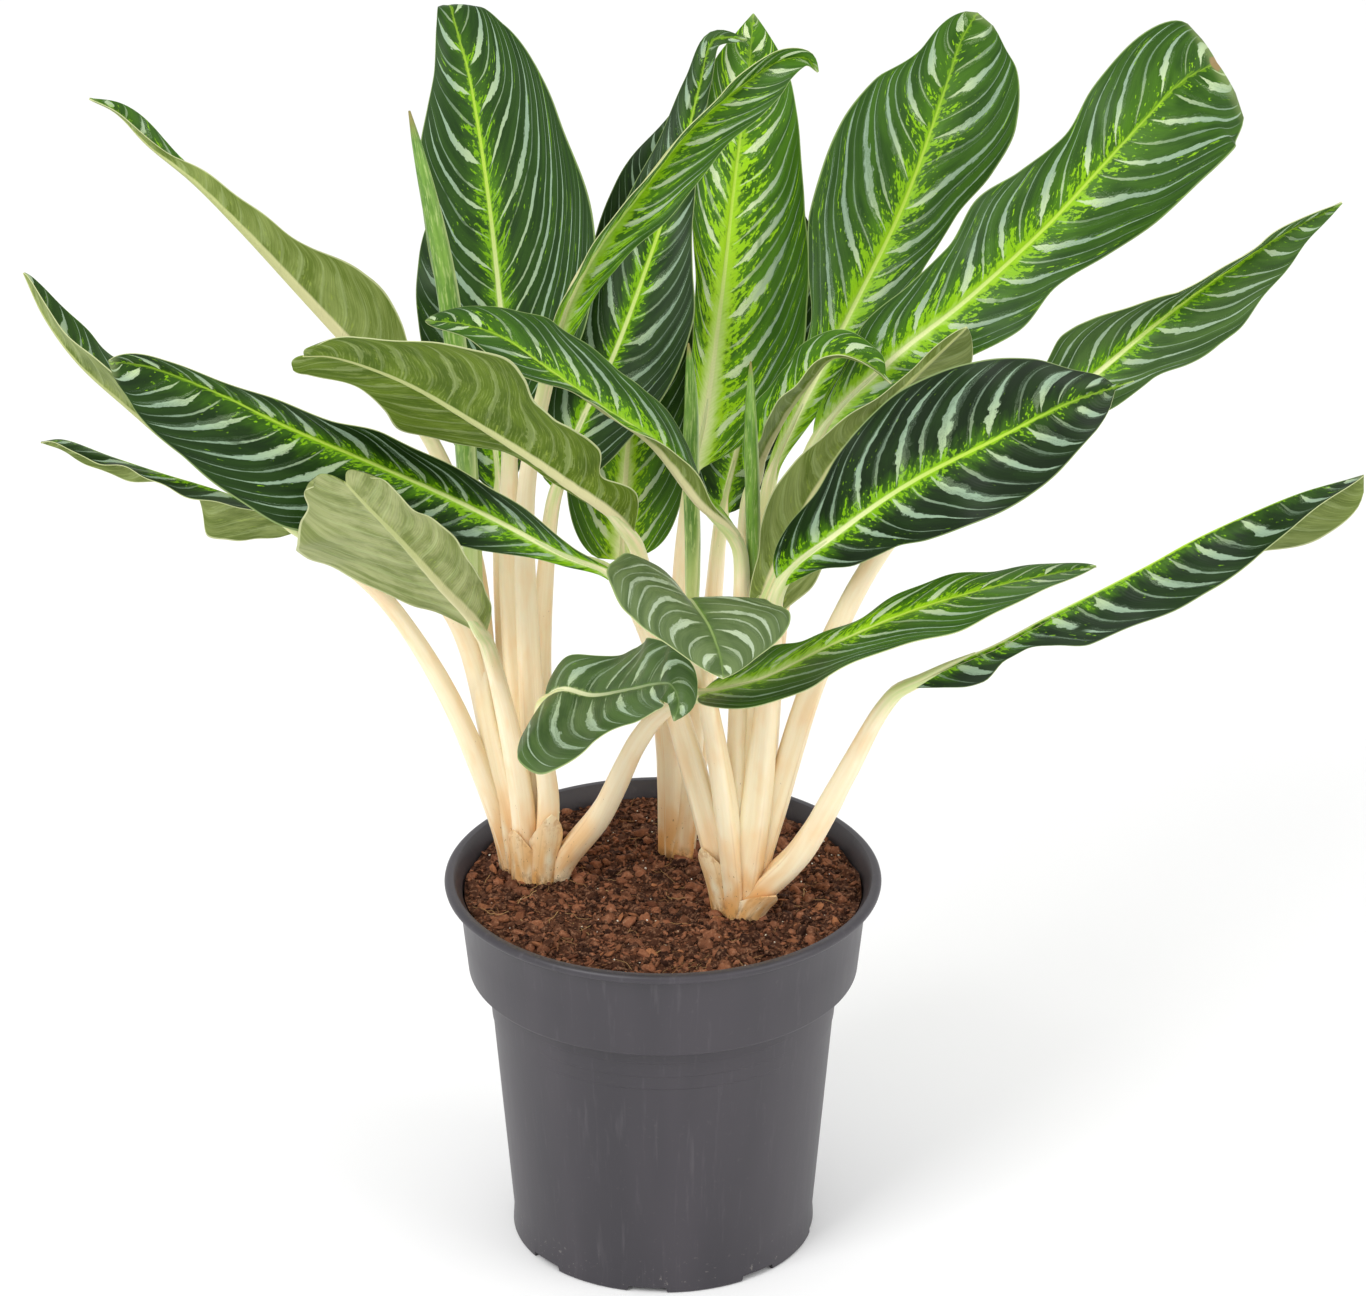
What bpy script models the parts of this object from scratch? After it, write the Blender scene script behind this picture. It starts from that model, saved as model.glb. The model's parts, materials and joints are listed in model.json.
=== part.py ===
"""A potted chinese evergreen (Aglaonema): nursery pot, soil, three crowns of stalks, 24 blades and 3 spears.

Metres, +Z up. The origin is the centre of the pot's underside, where its middle pad meets the ground.
The plant faces -Y. Leaf points below are in millimetres from that origin.
"""
import math

import bmesh
import bpy
from mathutils import Matrix, Vector

MM = 0.001

# Pot
POT_HEIGHT = 0.172
LIP_RADIUS = 0.095
LIP_DEPTH = 0.0042
LIP_INSIDE_DROP = 0.0055
EDGE = 0.0013
COLLAR_TOP_RADIUS = 0.0890
COLLAR_BOTTOM_RADIUS = 0.0850
COLLAR_BOTTOM_Z = 0.128
BODY_TOP_RADIUS = 0.0774
BASE_RADIUS = 0.0665
WALL = 0.0015
FLOOR_UNDERSIDE = 0.0035
FLOOR_TOP = 0.0055
FOOT_RING_WIDTH = 0.0042
PAD_RADIUS = 0.013
POT_SIDES = 64
DRAIN_ARCHES = 8
DRAIN_ARCH_WIDTH = 0.019
DRAIN_ARCH_HEIGHT = 0.0028
DRAIN_ARCH_REACH = 0.016
FIRST_ARCH = -96
FLOOR_HOLES = 4
FLOOR_HOLE_RADIUS = 0.005
FLOOR_HOLE_CIRCLE = 0.040

# Soil
SOIL_EDGE_Z = 0.1650
SOIL_CROWN_RISE = 0.0015
SOIL_CLEARANCE = 0.0007
SOIL_ROUGHNESS = 0.0007
SOIL_SIDES = 48
SOIL_RINGS = 7

# Crowns: centre, radius of the cane at the soil, and how deep it is sunk
CANE_TOP = 0.162
CANE_FOOT = 0.134
CANE_GAP = 0.0008
CROWNS = {
    "left": (-56.0, 15.0, 19.0),
    "back": (6.0, 33.0, 10.5),
    "right": (33.0, -21.0, 12.5),
}

# Blades
BLADE_THICKNESS = 0.0008
BASE_HALF_WIDTH = 0.0028
TIP_HALF_WIDTH = 0.0006
FOLDED_LEAST = 0.0040
MIDRIB_DEPTH = 0.0022
MIDRIB_HALF_WIDTH = 0.0026
SIDE_COLUMN = 0.58
RIPPLES = 2.3
USUAL_TAPER = 1.3
END_PART = 0.18
STALK_GAP = 0.0003
STATIONS = (0.0, 0.035, 0.10, 0.20, 0.30, 0.40, 0.50, 0.60, 0.70, 0.80, 0.91, 1.0)
STALK_SIDES = 8
ROOT_HEIGHTS = (146, 168)
CURVE_STEPS = 24
STALK_RADII = (0.0065, 0.0065, 0.0060, 0.0054, 0.0048, 0.0043, 0.0038, 0.0034, 0.0031)
SPEAR_STATIONS = (0.0, 0.12, 0.35, 0.6, 0.8, 0.93, 1.0)
SPEAR_THICKNESS = (0.78, 0.95, 1.0, 0.95, 0.75, 0.42, 0.14)

# Colours, linear
POT_GREY = (0.085, 0.080, 0.088, 1.0)
SOIL_BROWN = (0.060, 0.030, 0.018, 1.0)
STALK_CREAM = (0.80, 0.66, 0.45, 1.0)
LEAF_DARK = (0.045, 0.110, 0.050, 1.0)
LEAF_YOUNG = (0.120, 0.270, 0.045, 1.0)
SPEAR_GREEN = (0.200, 0.350, 0.070, 1.0)

# Each leaf: its crown, where its stalk leaves the crown, the points that the stalk passes (the last one is
# the blade's base), the points of the midrib on to the tip, and the way its upper side faces at base and tip.
# half is half the blade's width and widest is how far along it is widest. fold lifts both halves off the flat
# in degrees, curl bends them on further towards the margin, and ripple is the margin's wave in millimetres.
# skew makes the half on the right, seen from the base with the upper side up, that much wider than the other.
# A taper under the usual one makes both ends blunter, and a larger one makes them slimmer.
LEAVES = {
    "tall_left": dict(
        crown="left", root=(-3, 2), half=34, widest=0.38, skew=0.2,
        fold=(14, 4), curl=(-18, -24), ripple=1.5,
        edge=[(0, 1, 1), (0.2, 1, 1.05), (0.4, 1.05, 1.08), (0.6, 1.12, 1), (0.7, 1, 1),
              (0.8, 0.84, 0.92), (0.9, 0.8, 0.88), (1, 0.9, 0.9)],
        stalk=[(-62, 22, 236), (-66, 34, 302), (-66, 42, 376)],
        blade=[(-70, 62, 420), (-76, 85, 466), (-83, 103, 504), (-88, 112, 519), (-91, 122, 524),
               (-94, 136, 515)],
        face=((0.15, -0.9, 0.35), (0.1, -0.75, 0.6))),
    "left_behind": dict(
        crown="left", root=(-3, 9), half=25, widest=0.5, fold=(16, 8), curl=(-10, -15), ripple=1,
        stalk=[(-67, 34, 250), (-70, 52, 294), (-71, 66, 325)],
        blade=[(-76, 80, 366), (-84, 96, 406), (-92, 114, 449)],
        face=((-0.25, -0.85, 0.4), (-0.3, -0.8, 0.4))),
    "slanting": dict(
        crown="left", root=(4, -2), half=20, widest=0.55,
        fold=(42, 45, 46, 42, 34), curl=(-10, -5), ripple=1.5,
        edge=[(0, 0.8, 0.8), (0.3, 0.75, 0.7), (0.6, 0.8, 0.85), (0.85, 0.9, 1.1), (1, 1, 1)],
        stalk=[(-57, 12, 255), (-58, 12, 350), (-47, 9, 410)],
        blade=[(-40, 8, 436), (-27, 7, 463), (-8, 7, 490), (12, 12, 515), (35, 17, 534), (50, 19, 543),
               (60, 21, 543), (65, 21, 537)],
        face=((0.25, -0.85, 0.3), (0.45, -0.83, 0), (0.5, -0.82, -0.1), (0.5, -0.8, -0.1),
              (0.4, -0.75, 0.3))),
    "curled_tip": dict(
        crown="left", root=(4, 6), half=27, widest=0.4, fold=(14, 10), curl=(-12, -14), ripple=1.5,
        edge=[(0, 1, 1.1), (0.3, 0.9, 1.15), (0.4, 0.85, 1.1), (0.5, 0.8, 0.8), (0.6, 0.7, 0.5),
              (0.7, 0.6, 0.35), (0.8, 0.55, 0.35), (0.9, 0.5, 0.45), (1, 0.6, 0.6)],
        stalk=[(-53, 26, 249), (-51, 40, 294), (-46, 51, 333)],
        blade=[(-35, 57, 362), (-22, 65, 387), (-5, 80, 430), (8, 94, 468), (16, 106, 498),
               (22, 112, 516), (36, 110, 517)],
        face=((-0.35, -0.85, 0.4), (-0.2, -0.8, 0.5))),
    "upper_left": dict(
        crown="left", root=(-7, 9), half=25, widest=0.28,
        fold=(60, 60, 58, 48, 35), curl=(6, 0), ripple=1.5,
        edge=[(0, 0.8, 0.8), (0.15, 1, 0.8), (0.28, 1, 0.7), (0.4, 0.75, 0.6), (0.6, 0.42, 0.4),
              (0.75, 0.3, 0.45), (0.85, 0.5, 0.8), (1, 1, 1)],
        stalk=[(-76, 30, 242), (-82, 44, 302), (-97, 50, 350), (-113, 52, 376)],
        blade=[(-127, 53, 392), (-153, 55, 422), (-179, 57, 452), (-199, 59, 473), (-218, 61, 489),
               (-231, 62, 503), (-242, 62, 509)],
        face=((0.61, 0.52, 0.5), (0.61, 0.52, 0.5), (0.61, 0.5, 0.5), (0.6, 0.3, 0.65), (0.44, -0.42, 0.74))),
    "far_left": dict(
        crown="left", root=(-9, 8), half=23, widest=0.45, fold=(34, 32), curl=(-6, -6), ripple=1.5,
        stalk=[(-74, 24, 226), (-90, 23, 286), (-116, 22, 314), (-142, 20, 329)],
        blade=[(-171, 17, 345), (-203, 16, 366), (-226, 18, 386), (-247, 22, 405), (-261, 28, 423),
               (-270, 34, 441)],
        face=((0.62, 0.13, 0.7), (0.62, 0.13, 0.7))),
    "left_low": dict(
        crown="left", root=(-11, 4), half=19, widest=0.36, fold=(-36, -36), curl=(-6, -8), ripple=2,
        edge=[(0, 0.7, 1.3), (0.15, 0.7, 1.25), (0.3, 0.7, 1.2), (0.42, 0.7, 0.4), (0.6, 0.7, 0.35),
              (0.75, 0.75, 0.6), (0.88, 0.9, 1.2), (1, 1, 1.2)],
        stalk=[(-80, 16, 217), (-97, 11, 262), (-118, 8, 299), (-138, 0, 324), (-154, -7, 341)],
        blade=[(-166, -10, 351), (-187, -12, 361), (-211, -8, 367), (-233, -2, 372), (-254, 2, 378),
               (-263, 4, 376)],
        face=((0.3, 0.67, 0.74), (0.3, 0.67, 0.74))),
    "under_low": dict(
        crown="left", root=(-3, -7), half=30, widest=0.72, skew=0.2,
        taper=0.9, fold=(12, 6), curl=(-6, -10), ripple=1.5, blunt=(0, 18), lobes=(0, 8),
        edge=[(0, 1.1, 1), (0.1, 1.1, 1), (0.2, 0.95, 1), (0.3, 0.98, 1.15), (0.4, 0.95, 1.35),
              (0.5, 0.92, 1.45), (0.6, 0.88, 1.4), (0.7, 0.78, 1.2), (0.8, 0.72, 1), (0.9, 0.75, 0.75),
              (1, 0.8, 0.7)],
        stalk=[(-61, 6, 204), (-68, -6, 256), (-77, -25, 301)],
        blade=[(-93, -50, 335), (-109, -75, 368), (-123, -94, 394), (-129, -101, 405)],
        face=((0.12, 0.9, 0.4), (0.08, 0.8, 0.6))),
    "low_forward": dict(
        crown="left", root=(3, -8), half=34, widest=0.36,
        fold=(20, 18, 10, 4, 0), curl=(-12, -18), ripple=1.5,
        edge=[(0, 0.4, 1), (0.15, 0.48, 1.25), (0.3, 0.52, 1.25), (0.45, 0.6, 0.95), (0.6, 0.75, 0.55),
              (0.75, 0.8, 0.5), (1, 0.9, 0.7)],
        stalk=[(-50, 4, 205), (-52, -6, 240), (-50, -24, 268)],
        blade=[(-42, -38, 280), (-30, -52, 284), (-14, -73, 297), (-2, -90, 308), (4, -102, 313),
               (7, -109, 309), (5, -113, 302)],
        face=((-0.77, -0.2, 0.61), (-0.7, -0.25, 0.65), (-0.45, -0.45, 0.75), (-0.2, -0.75, 0.55),
              (0, -0.95, 0.1))),
    "low_right": dict(
        crown="left", root=(10, -7), half=23, widest=0.42, fold=(12, 8), curl=(-6, -10), ripple=2,
        edge=[(0, 1, 1.3), (0.1, 0.9, 1.4), (0.2, 0.75, 1.35), (0.3, 0.5, 1.4), (0.4, 0.52, 1.45),
              (0.5, 0.6, 1.35), (0.6, 0.66, 1.4), (0.75, 0.7, 1.4), (0.9, 0.95, 1.3), (1, 1, 1)],
        stalk=[(-27, -1, 202), (-10, -19, 247), (1, -31, 267), (17, -48, 283)],
        blade=[(42, -62, 297), (71, -67, 315), (104, -68, 331), (141, -66, 342), (181, -62, 349)],
        face=((-0.3, -0.1, 0.95), (-0.25, -0.1, 0.95))),
    "behind_slant": dict(
        crown="back", root=(-2, 3), half=27, widest=0.27, fold=(16, 8), curl=(-12, -16), ripple=1.5,
        edge=[(0, 1, 1), (0.5, 1, 1), (0.6, 1.3, 1), (0.7, 1.6, 1), (0.8, 1.9, 1), (0.9, 2.2, 1),
              (1, 1.6, 1)],
        stalk=[(2, 46, 225), (-8, 62, 264), (-17, 74, 288)],
        blade=[(-16, 84, 328), (-12, 98, 366), (-4, 118, 418), (4, 137, 473)],
        face=((0, -0.9, 0.4), (0, -0.9, 0.4))),
    "under_left": dict(
        crown="back", root=(-3, -2), half=29, widest=0.66, taper=1.1,
        fold=(12, 6), curl=(-8, -16), ripple=1.5, blunt=(0, 15), lobes=(0, 9),
        edge=[(0, 1, 0.2), (0.1, 1.4, 0.2), (0.2, 0.7, 0.2), (0.3, 1.15, 0.2), (0.4, 1.1, 0.35),
              (0.45, 1, 0.6), (0.5, 1, 0.85), (0.6, 1.3, 1.05), (0.7, 1.5, 0.8), (0.8, 1.35, 0.65),
              (0.9, 1.05, 0.9), (1, 1, 1)],
        stalk=[(2, 24, 224), (-5, -4, 294), (-14, -35, 352)],
        blade=[(-41, -60, 388), (-77, -84, 425), (-106, -101, 451), (-133, -114, 467),
               (-144, -120, 470)],
        face=((0.3, 0.95, 0.05), (0.25, 0.8, 0.5))),
    "centre_tall": dict(
        crown="back", root=(1, -1), half=27, widest=0.5, skew=0.34, taper=1.7,
        fold=(16, 8), curl=(-12, -14), ripple=1.5,
        edge=[(0, 0.9, 1.4), (0.1, 0.8, 1.4), (0.2, 0.82, 1.36), (0.3, 0.7, 1.22), (0.4, 0.7, 1.05),
              (0.5, 0.88, 0.97), (0.6, 1.15, 0.9), (0.7, 1.3, 0.9), (0.8, 1.5, 0.93), (0.9, 1.9, 1),
              (1, 1.5, 0.9)],
        stalk=[(8, 38, 237), (8, 48, 291), (13, 56, 339)],
        blade=[(18, 62, 360), (25, 77, 408), (31, 98, 457), (37, 120, 499), (39, 133, 520)],
        face=((0.2, -0.9, 0.4), (0.2, -0.9, 0.4))),
    "behind_centre": dict(
        crown="back", root=(3, 2), half=24, widest=0.45, fold=(16, 8), curl=(-10, -10), ripple=1,
        stalk=[(17, 46, 225), (22, 68, 272), (26, 84, 306)],
        blade=[(34, 96, 339), (42, 110, 375), (50, 124, 408), (56, 140, 438)],
        face=((0, -0.9, 0.4), (0, -0.9, 0.4))),
    "front_to_left": dict(
        crown="right", root=(-2, -1), half=19, widest=0.68, skew=0.15,
        taper=1.9, fold=(40, 38, 28, 14, 8), curl=(-8, -14), ripple=1.5,
        edge=[(0, 1.5, 1.6), (0.1, 1.5, 1.7), (0.2, 1.3, 2), (0.3, 0.9, 1.8), (0.4, 0.6, 1.2),
              (0.5, 0.5, 1.1), (0.6, 0.6, 1.15), (0.7, 1, 1.1), (0.8, 1.05, 0.8), (0.9, 0.6, 0.65),
              (1, 0.7, 0.7)],
        stalk=[(32, -22, 229), (33, -21, 295), (31, -19, 343)],
        blade=[(16, -23, 361), (-4, -27, 390), (-25, -34, 409), (-46, -40, 428), (-66, -42, 444),
               (-82, -40, 449), (-98, -36, 449)],
        face=((0.56, 0.25, 0.71), (0.56, 0.15, 0.75), (0.35, -0.2, 0.9), (0.1, -0.35, 0.92),
              (0.05, -0.35, 0.93))),
    "broad_left": dict(
        crown="right", root=(-5, 2), half=36, widest=0.6, skew=-0.3,
        taper=1.7, fold=(26, 22), curl=(-6, -8), ripple=2,
        edge=[(0, 0.3, 1), (0.1, 0.3, 1), (0.2, 0.42, 0.97), (0.3, 0.52, 0.88), (0.4, 0.62, 0.88),
              (0.5, 0.72, 0.85), (0.6, 0.82, 0.55), (0.7, 0.78, 0.45), (0.8, 0.8, 0.38),
              (0.9, 0.85, 0.5), (1, 1, 1)],
        stalk=[(20, -19, 205), (3, -14, 267), (-11, -25, 311), (-21, -33, 331)],
        blade=[(-42, -36, 342), (-68, -38, 358), (-94, -40, 373), (-119, -42, 386), (-157, -44, 405),
               (-186, -45, 421), (-214, -46, 433), (-229, -46, 435)],
        face=((0.1, -0.95, -0.1), (0.1, -0.95, -0.15))),
    "facing": dict(
        crown="right", root=(-1, -4), half=38, widest=0.42, skew=0.12,
        fold=(24, 12), curl=(-8, -20), ripple=1,
        edge=[(0, 0.9, 0.7), (0.1, 0.9, 0.72), (0.2, 0.92, 0.85), (0.3, 0.95, 0.9), (0.5, 1.05, 1),
              (0.6, 1.15, 1), (0.7, 1.22, 1), (0.8, 1.2, 1), (0.9, 1.05, 1), (1, 1, 1)],
        stalk=[(26, -30, 227), (18, -37, 280), (11, -47, 322)],
        blade=[(11, -66, 336), (15, -90, 342), (20, -113, 344), (24, -134, 341), (25, -144, 337)],
        face=((0.33, -0.3, 0.9), (0.2, -0.45, 0.9))),
    "right_tall": dict(
        crown="right", root=(2, 5), half=34, widest=0.7, skew=-0.08,
        taper=1.6, fold=(14, 6), curl=(-14, -18), ripple=2,
        edge=[(0, 0.5, 0.8), (0.1, 0.45, 0.8), (0.2, 0.5, 0.8), (0.3, 0.6, 0.8), (0.4, 0.93, 0.82),
              (0.5, 1.1, 0.72), (0.6, 1.08, 0.75), (0.7, 1.02, 0.98), (0.8, 0.87, 1.14),
              (0.9, 0.5, 1.12), (1, 0.45, 1)],
        stalk=[(37, -10, 224), (41, 12, 289), (46, 27, 348)],
        blade=[(56, 33, 372), (81, 51, 417), (103, 72, 457), (120, 95, 498), (128, 110, 517),
               (135, 121, 525)],
        face=((0, -0.9, 0.4), (-0.1, -0.85, 0.5))),
    "arched": dict(
        crown="right", root=(0, 3), half=15, widest=0.42, fold=(36, 26), curl=(10, 0), ripple=1,
        stalk=[(35, -14, 234), (34, -4, 307), (38, 4, 358)],
        blade=[(48, 3, 384), (60, -2, 405), (72, -8, 421), (85, -15, 421), (96, -23, 415)],
        face=((-0.85, -0.1, 0.4), (0.4, -0.2, 0.9))),
    "wide_right": dict(
        crown="right", root=(3, 2), half=30, widest=0.7, taper=0.8, fold=(14, 8), curl=(-12, -20), ripple=3,
        blunt=(0, 11),
        edge=[(0, 0.8, 0.8), (0.1, 0.75, 0.8), (0.2, 1, 0.82), (0.3, 0.88, 0.85), (0.4, 0.87, 0.98),
              (0.5, 1.03, 0.78), (0.6, 0.83, 0.92), (0.7, 0.68, 1.1), (0.8, 0.88, 1.2), (0.9, 1, 1.35),
              (1, 1.1, 1.4)],
        stalk=[(42, -15, 226), (50, -8, 308), (66, 0, 380)],
        blade=[(96, 9, 411), (128, 18, 435), (163, 30, 465), (184, 39, 486), (205, 48, 507),
               (219, 56, 519), (234, 65, 524)],
        face=((-0.1, -0.85, 0.5), (-0.1, -0.85, 0.5))),
    "far_right_up": dict(
        crown="right", root=(5, 1), half=23, widest=0.3,
        fold=(10, 24, 42, 44, 36), curl=(-6, -8), ripple=1.5,
        edge=[(0, 0.8, 0.7), (0.1, 0.85, 0.7), (0.2, 1.05, 0.75), (0.3, 1, 0.75), (0.4, 0.9, 0.95),
              (0.5, 0.9, 1.1), (0.6, 0.9, 1.25), (0.7, 0.9, 1.25), (0.8, 0.9, 1.15), (0.9, 0.9, 0.9),
              (1, 1, 1)],
        stalk=[(49, -22, 219), (70, -26, 293), (101, -27, 352), (157, -20, 397)],
        blade=[(182, -15, 416), (206, -10, 436), (231, -4, 454), (257, 3, 470), (284, 9, 483)],
        face=((-0.1, -0.8, 0.5), (0.1, -0.88, 0.35), (0.38, -0.88, -0.05), (0.42, -0.87, -0.15),
              (0.4, -0.85, 0))),
    "broad_right": dict(
        crown="right", root=(2, -3), half=33, widest=0.52, skew=-0.12,
        fold=(14, 8), curl=(-10, -16), ripple=2,
        edge=[(0, 0.9, 0.6), (0.1, 0.75, 0.52), (0.2, 0.66, 0.75), (0.3, 0.8, 0.76), (0.4, 0.92, 0.9),
              (0.5, 0.97, 0.96), (0.6, 0.96, 1), (0.7, 0.93, 1), (0.8, 0.8, 0.97), (0.9, 0.5, 0.95),
              (1, 0.6, 0.8)],
        stalk=[(41, -27, 226), (46, -38, 294), (50, -46, 334)],
        blade=[(74, -56, 362), (103, -66, 389), (139, -78, 415), (167, -88, 435), (192, -96, 448)],
        face=((-0.4, -0.85, 0.3), (-0.4, -0.8, 0.4))),
    "under_right": dict(
        crown="right", root=(4, -1), half=23, widest=0.4, fold=(10, 6), curl=(-6, -10), ripple=1,
        edge=[(0, 1.2, 0.6), (0.05, 1.7, 0.6), (0.1, 1.5, 0.58), (0.2, 1.1, 0.8), (0.3, 1, 0.85),
              (0.4, 1, 0.7), (0.5, 1, 0.55), (0.6, 1, 0.5), (0.7, 1, 0.35), (0.8, 1.1, 0.25),
              (0.9, 2, 0.4), (1, 2, 0.8)],
        stalk=[(39, -24, 225), (41, -25, 287), (44, -25, 318)],
        blade=[(58, -26, 354), (78, -28, 390), (103, -32, 420), (126, -40, 448)],
        face=((-0.3, 0.85, 0.3), (-0.2, 0.8, 0.5))),
    "far_right": dict(
        crown="right", root=(4, -4), half=22, widest=0.56,
        fold=(-58, -62, -62, -60, -50), curl=(6, 6), ripple=1,
        edge=[(0, 0.6, 1.1), (0.11, 0.7, 1.2), (0.155, 0.6, 1.05), (0.21, 0.5, 0.5), (0.25, 0.5, 0.45),
              (0.31, 0.5, 0.7), (0.38, 0.6, 0.98), (0.5, 0.7, 1), (0.65, 0.9, 1.03), (0.75, 1.2, 1),
              (0.85, 1.5, 1.05), (0.93, 1.7, 1), (1, 2, 1)],
        stalk=[(59, -31, 199), (78, -43, 243), (93, -56, 280), (102, -62, 294)],
        blade=[(115, -66, 304), (139, -72, 318), (159, -76, 332), (183, -81, 348), (202, -85, 361),
               (218, -89, 373), (242, -94, 388), (262, -98, 399), (281, -100, 406), (287, -100, 408)],
        face=((-0.33, -0.04, 0.88), (-0.33, -0.04, 0.88), (-0.33, -0.04, 0.88), (-0.35, 0.2, 0.8),
              (-0.34, 0.75, 0.5))),
}
YOUNG = ("slanting", "centre_tall", "low_right", "front_to_left", "arched")

# Each rolled new leaf: the points that its stalk passes, the points of the roll above it, and its radius
SPEARS = {
    "left": dict(
        crown="left", root=(-7, 2), radius=5, stations=SPEAR_STATIONS,
        stalk=[(-78, 22, 248), (-81, 29, 298)],
        blade=[(-83, 30, 345), (-86, 30, 392), (-93, 32, 446), (-106, 35, 514)]),
    "middle": dict(
        crown="back", root=(2, -3), radius=3.7, stations=SPEAR_STATIONS,
        stalk=[(14, 32, 239), (13, 30, 287)],
        blade=[(13, 29, 322), (12, 28, 354), (12, 28, 386), (11, 28, 411)]),
    "right": dict(
        crown="right", root=(0, 1), radius=3.3, stations=SPEAR_STATIONS,
        stalk=[(39, -18, 250), (40, -16, 296)],
        blade=[(39, -15, 328), (38, -14, 361), (37, -14, 393), (37, -14, 421)]),
}


def clear_scene():
    for item in list(bpy.data.objects):
        bpy.data.objects.remove(item, do_unlink=True)


def material(name, colour, roughness):
    made = bpy.data.materials.new(name)
    made.use_nodes = True
    shader = made.node_tree.nodes["Principled BSDF"]
    shader.inputs["Base Color"].default_value = colour
    shader.inputs["Roughness"].default_value = roughness
    shader.inputs["Metallic"].default_value = 0.0
    return made


def finish(name, mesh_data, look, sharp=35):
    """Put a bmesh in the scene as one object with its faces pointing out."""
    bmesh.ops.recalc_face_normals(mesh_data, faces=mesh_data.faces)
    if mesh_data.calc_volume(signed=True) < 0:
        bmesh.ops.reverse_faces(mesh_data, faces=mesh_data.faces)
    mesh = bpy.data.meshes.new(name)
    mesh_data.to_mesh(mesh)
    mesh_data.free()
    mesh.shade_smooth()
    mesh.set_sharp_from_angle(angle=math.radians(sharp))
    made = bpy.data.objects.new(name, mesh)
    made.data.materials.append(look)
    bpy.context.scene.collection.objects.link(made)
    return made


def turned(profile, sides, height_at=None):
    """A closed solid turned about Z from (radius, z) points; a radius of 0 is a point on the axis."""
    shape = bmesh.new()
    rings = []
    for radius, z in profile:
        if radius == 0:
            rings.append([shape.verts.new((0, 0, z))])
            continue
        ring = []
        for k in range(sides):
            turn = 2 * math.pi * k / sides
            x, y = radius * math.cos(turn), radius * math.sin(turn)
            lift = height_at(x, y, z) if height_at else z
            ring.append(shape.verts.new((x, y, lift)))
        rings.append(ring)
    for low, high in zip(rings, rings[1:]):
        for k in range(sides):
            after = (k + 1) % sides
            if len(low) == 1:
                shape.faces.new((low[0], high[k], high[after]))
            elif len(high) == 1:
                shape.faces.new((low[k], low[after], high[0]))
            else:
                shape.faces.new((low[k], low[after], high[after], high[k]))
    return shape


def cylinder(radius, low, high, x, y, sides):
    """A plain closed cylinder, used for the canes and for the holes."""
    shape = bmesh.new()
    place = Matrix.Translation((x, y, (low + high) / 2))
    bmesh.ops.create_cone(shape, cap_ends=True, segments=sides, radius1=radius, radius2=radius,
                          depth=high - low, matrix=place)
    return shape


def smooth(points):
    """Fine points on a smooth curve through the given points (Catmull-Rom), and where each given point is."""
    knots = [0.0]
    for a, b in zip(points, points[1:]):
        knots.append(knots[-1] + math.sqrt((b - a).length))
    full = [points[0] * 2 - points[1]] + points + [points[-1] * 2 - points[-2]]
    times = [-knots[1]] + knots + [2 * knots[-1] - knots[-2]]
    fine, places = [], []
    for i in range(1, len(full) - 2):
        t0, t1, t2, t3 = times[i - 1:i + 3]
        p0, p1, p2, p3 = full[i - 1:i + 3]
        places.append(len(fine))
        for step in range(CURVE_STEPS):
            t = t1 + (t2 - t1) * step / CURVE_STEPS
            a1 = p0 * ((t1 - t) / (t1 - t0)) + p1 * ((t - t0) / (t1 - t0))
            a2 = p1 * ((t2 - t) / (t2 - t1)) + p2 * ((t - t1) / (t2 - t1))
            a3 = p2 * ((t3 - t) / (t3 - t2)) + p3 * ((t - t2) / (t3 - t2))
            b1 = a1 * ((t2 - t) / (t2 - t0)) + a2 * ((t - t0) / (t2 - t0))
            b2 = a2 * ((t3 - t) / (t3 - t1)) + a3 * ((t - t1) / (t3 - t1))
            fine.append(b1 * ((t2 - t) / (t2 - t1)) + b2 * ((t - t1) / (t2 - t1)))
    places.append(len(fine))
    fine.append(points[-1].copy())
    return fine, places


def along(fine, distances):
    """Points and directions at these distances along a fine curve."""
    run = [0.0]
    for a, b in zip(fine, fine[1:]):
        run.append(run[-1] + (b - a).length)
    points, ways = [], []
    for goal in distances:
        at = max(k for k in range(len(run) - 1) if run[k] <= goal + 1e-9)
        part = (goal - run[at]) / (run[at + 1] - run[at])
        points.append(fine[at].lerp(fine[at + 1], part))
        before, after = fine[max(at - 1, 0)], fine[min(at + 2, len(fine) - 1)]
        ways.append((after - before).normalized())
    return points, ways


def stalk_and_blade(leaf):
    """Points and directions of a stalk, from inside its crown, and of the midrib beyond a small gap."""
    x, y, _ = CROWNS[leaf["crown"]]
    root_x, root_y = leaf["root"]
    rise = [Vector((x + root_x, y + root_y, height)) * MM for height in ROOT_HEIGHTS]
    stalk = [Vector(p) * MM for p in leaf["stalk"]]
    blade = [Vector(p) * MM for p in leaf["blade"]]
    fine, places = smooth(rise + stalk + blade)
    cut = places[len(rise) + len(stalk) - 1]
    base = sum((b - a).length for a, b in zip(fine[:cut], fine[1:cut + 1]))
    total = sum((b - a).length for a, b in zip(fine, fine[1:]))
    rings = len(STALK_RADII) - 1
    start = base + STALK_GAP
    stations = leaf.get("stations", STATIONS)
    lower = along(fine, [base * k / rings for k in range(rings + 1)])
    upper = along(fine, [start + (total - start) * share for share in stations])
    lower[1][-1] = upper[1][0]
    return lower, upper


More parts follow.
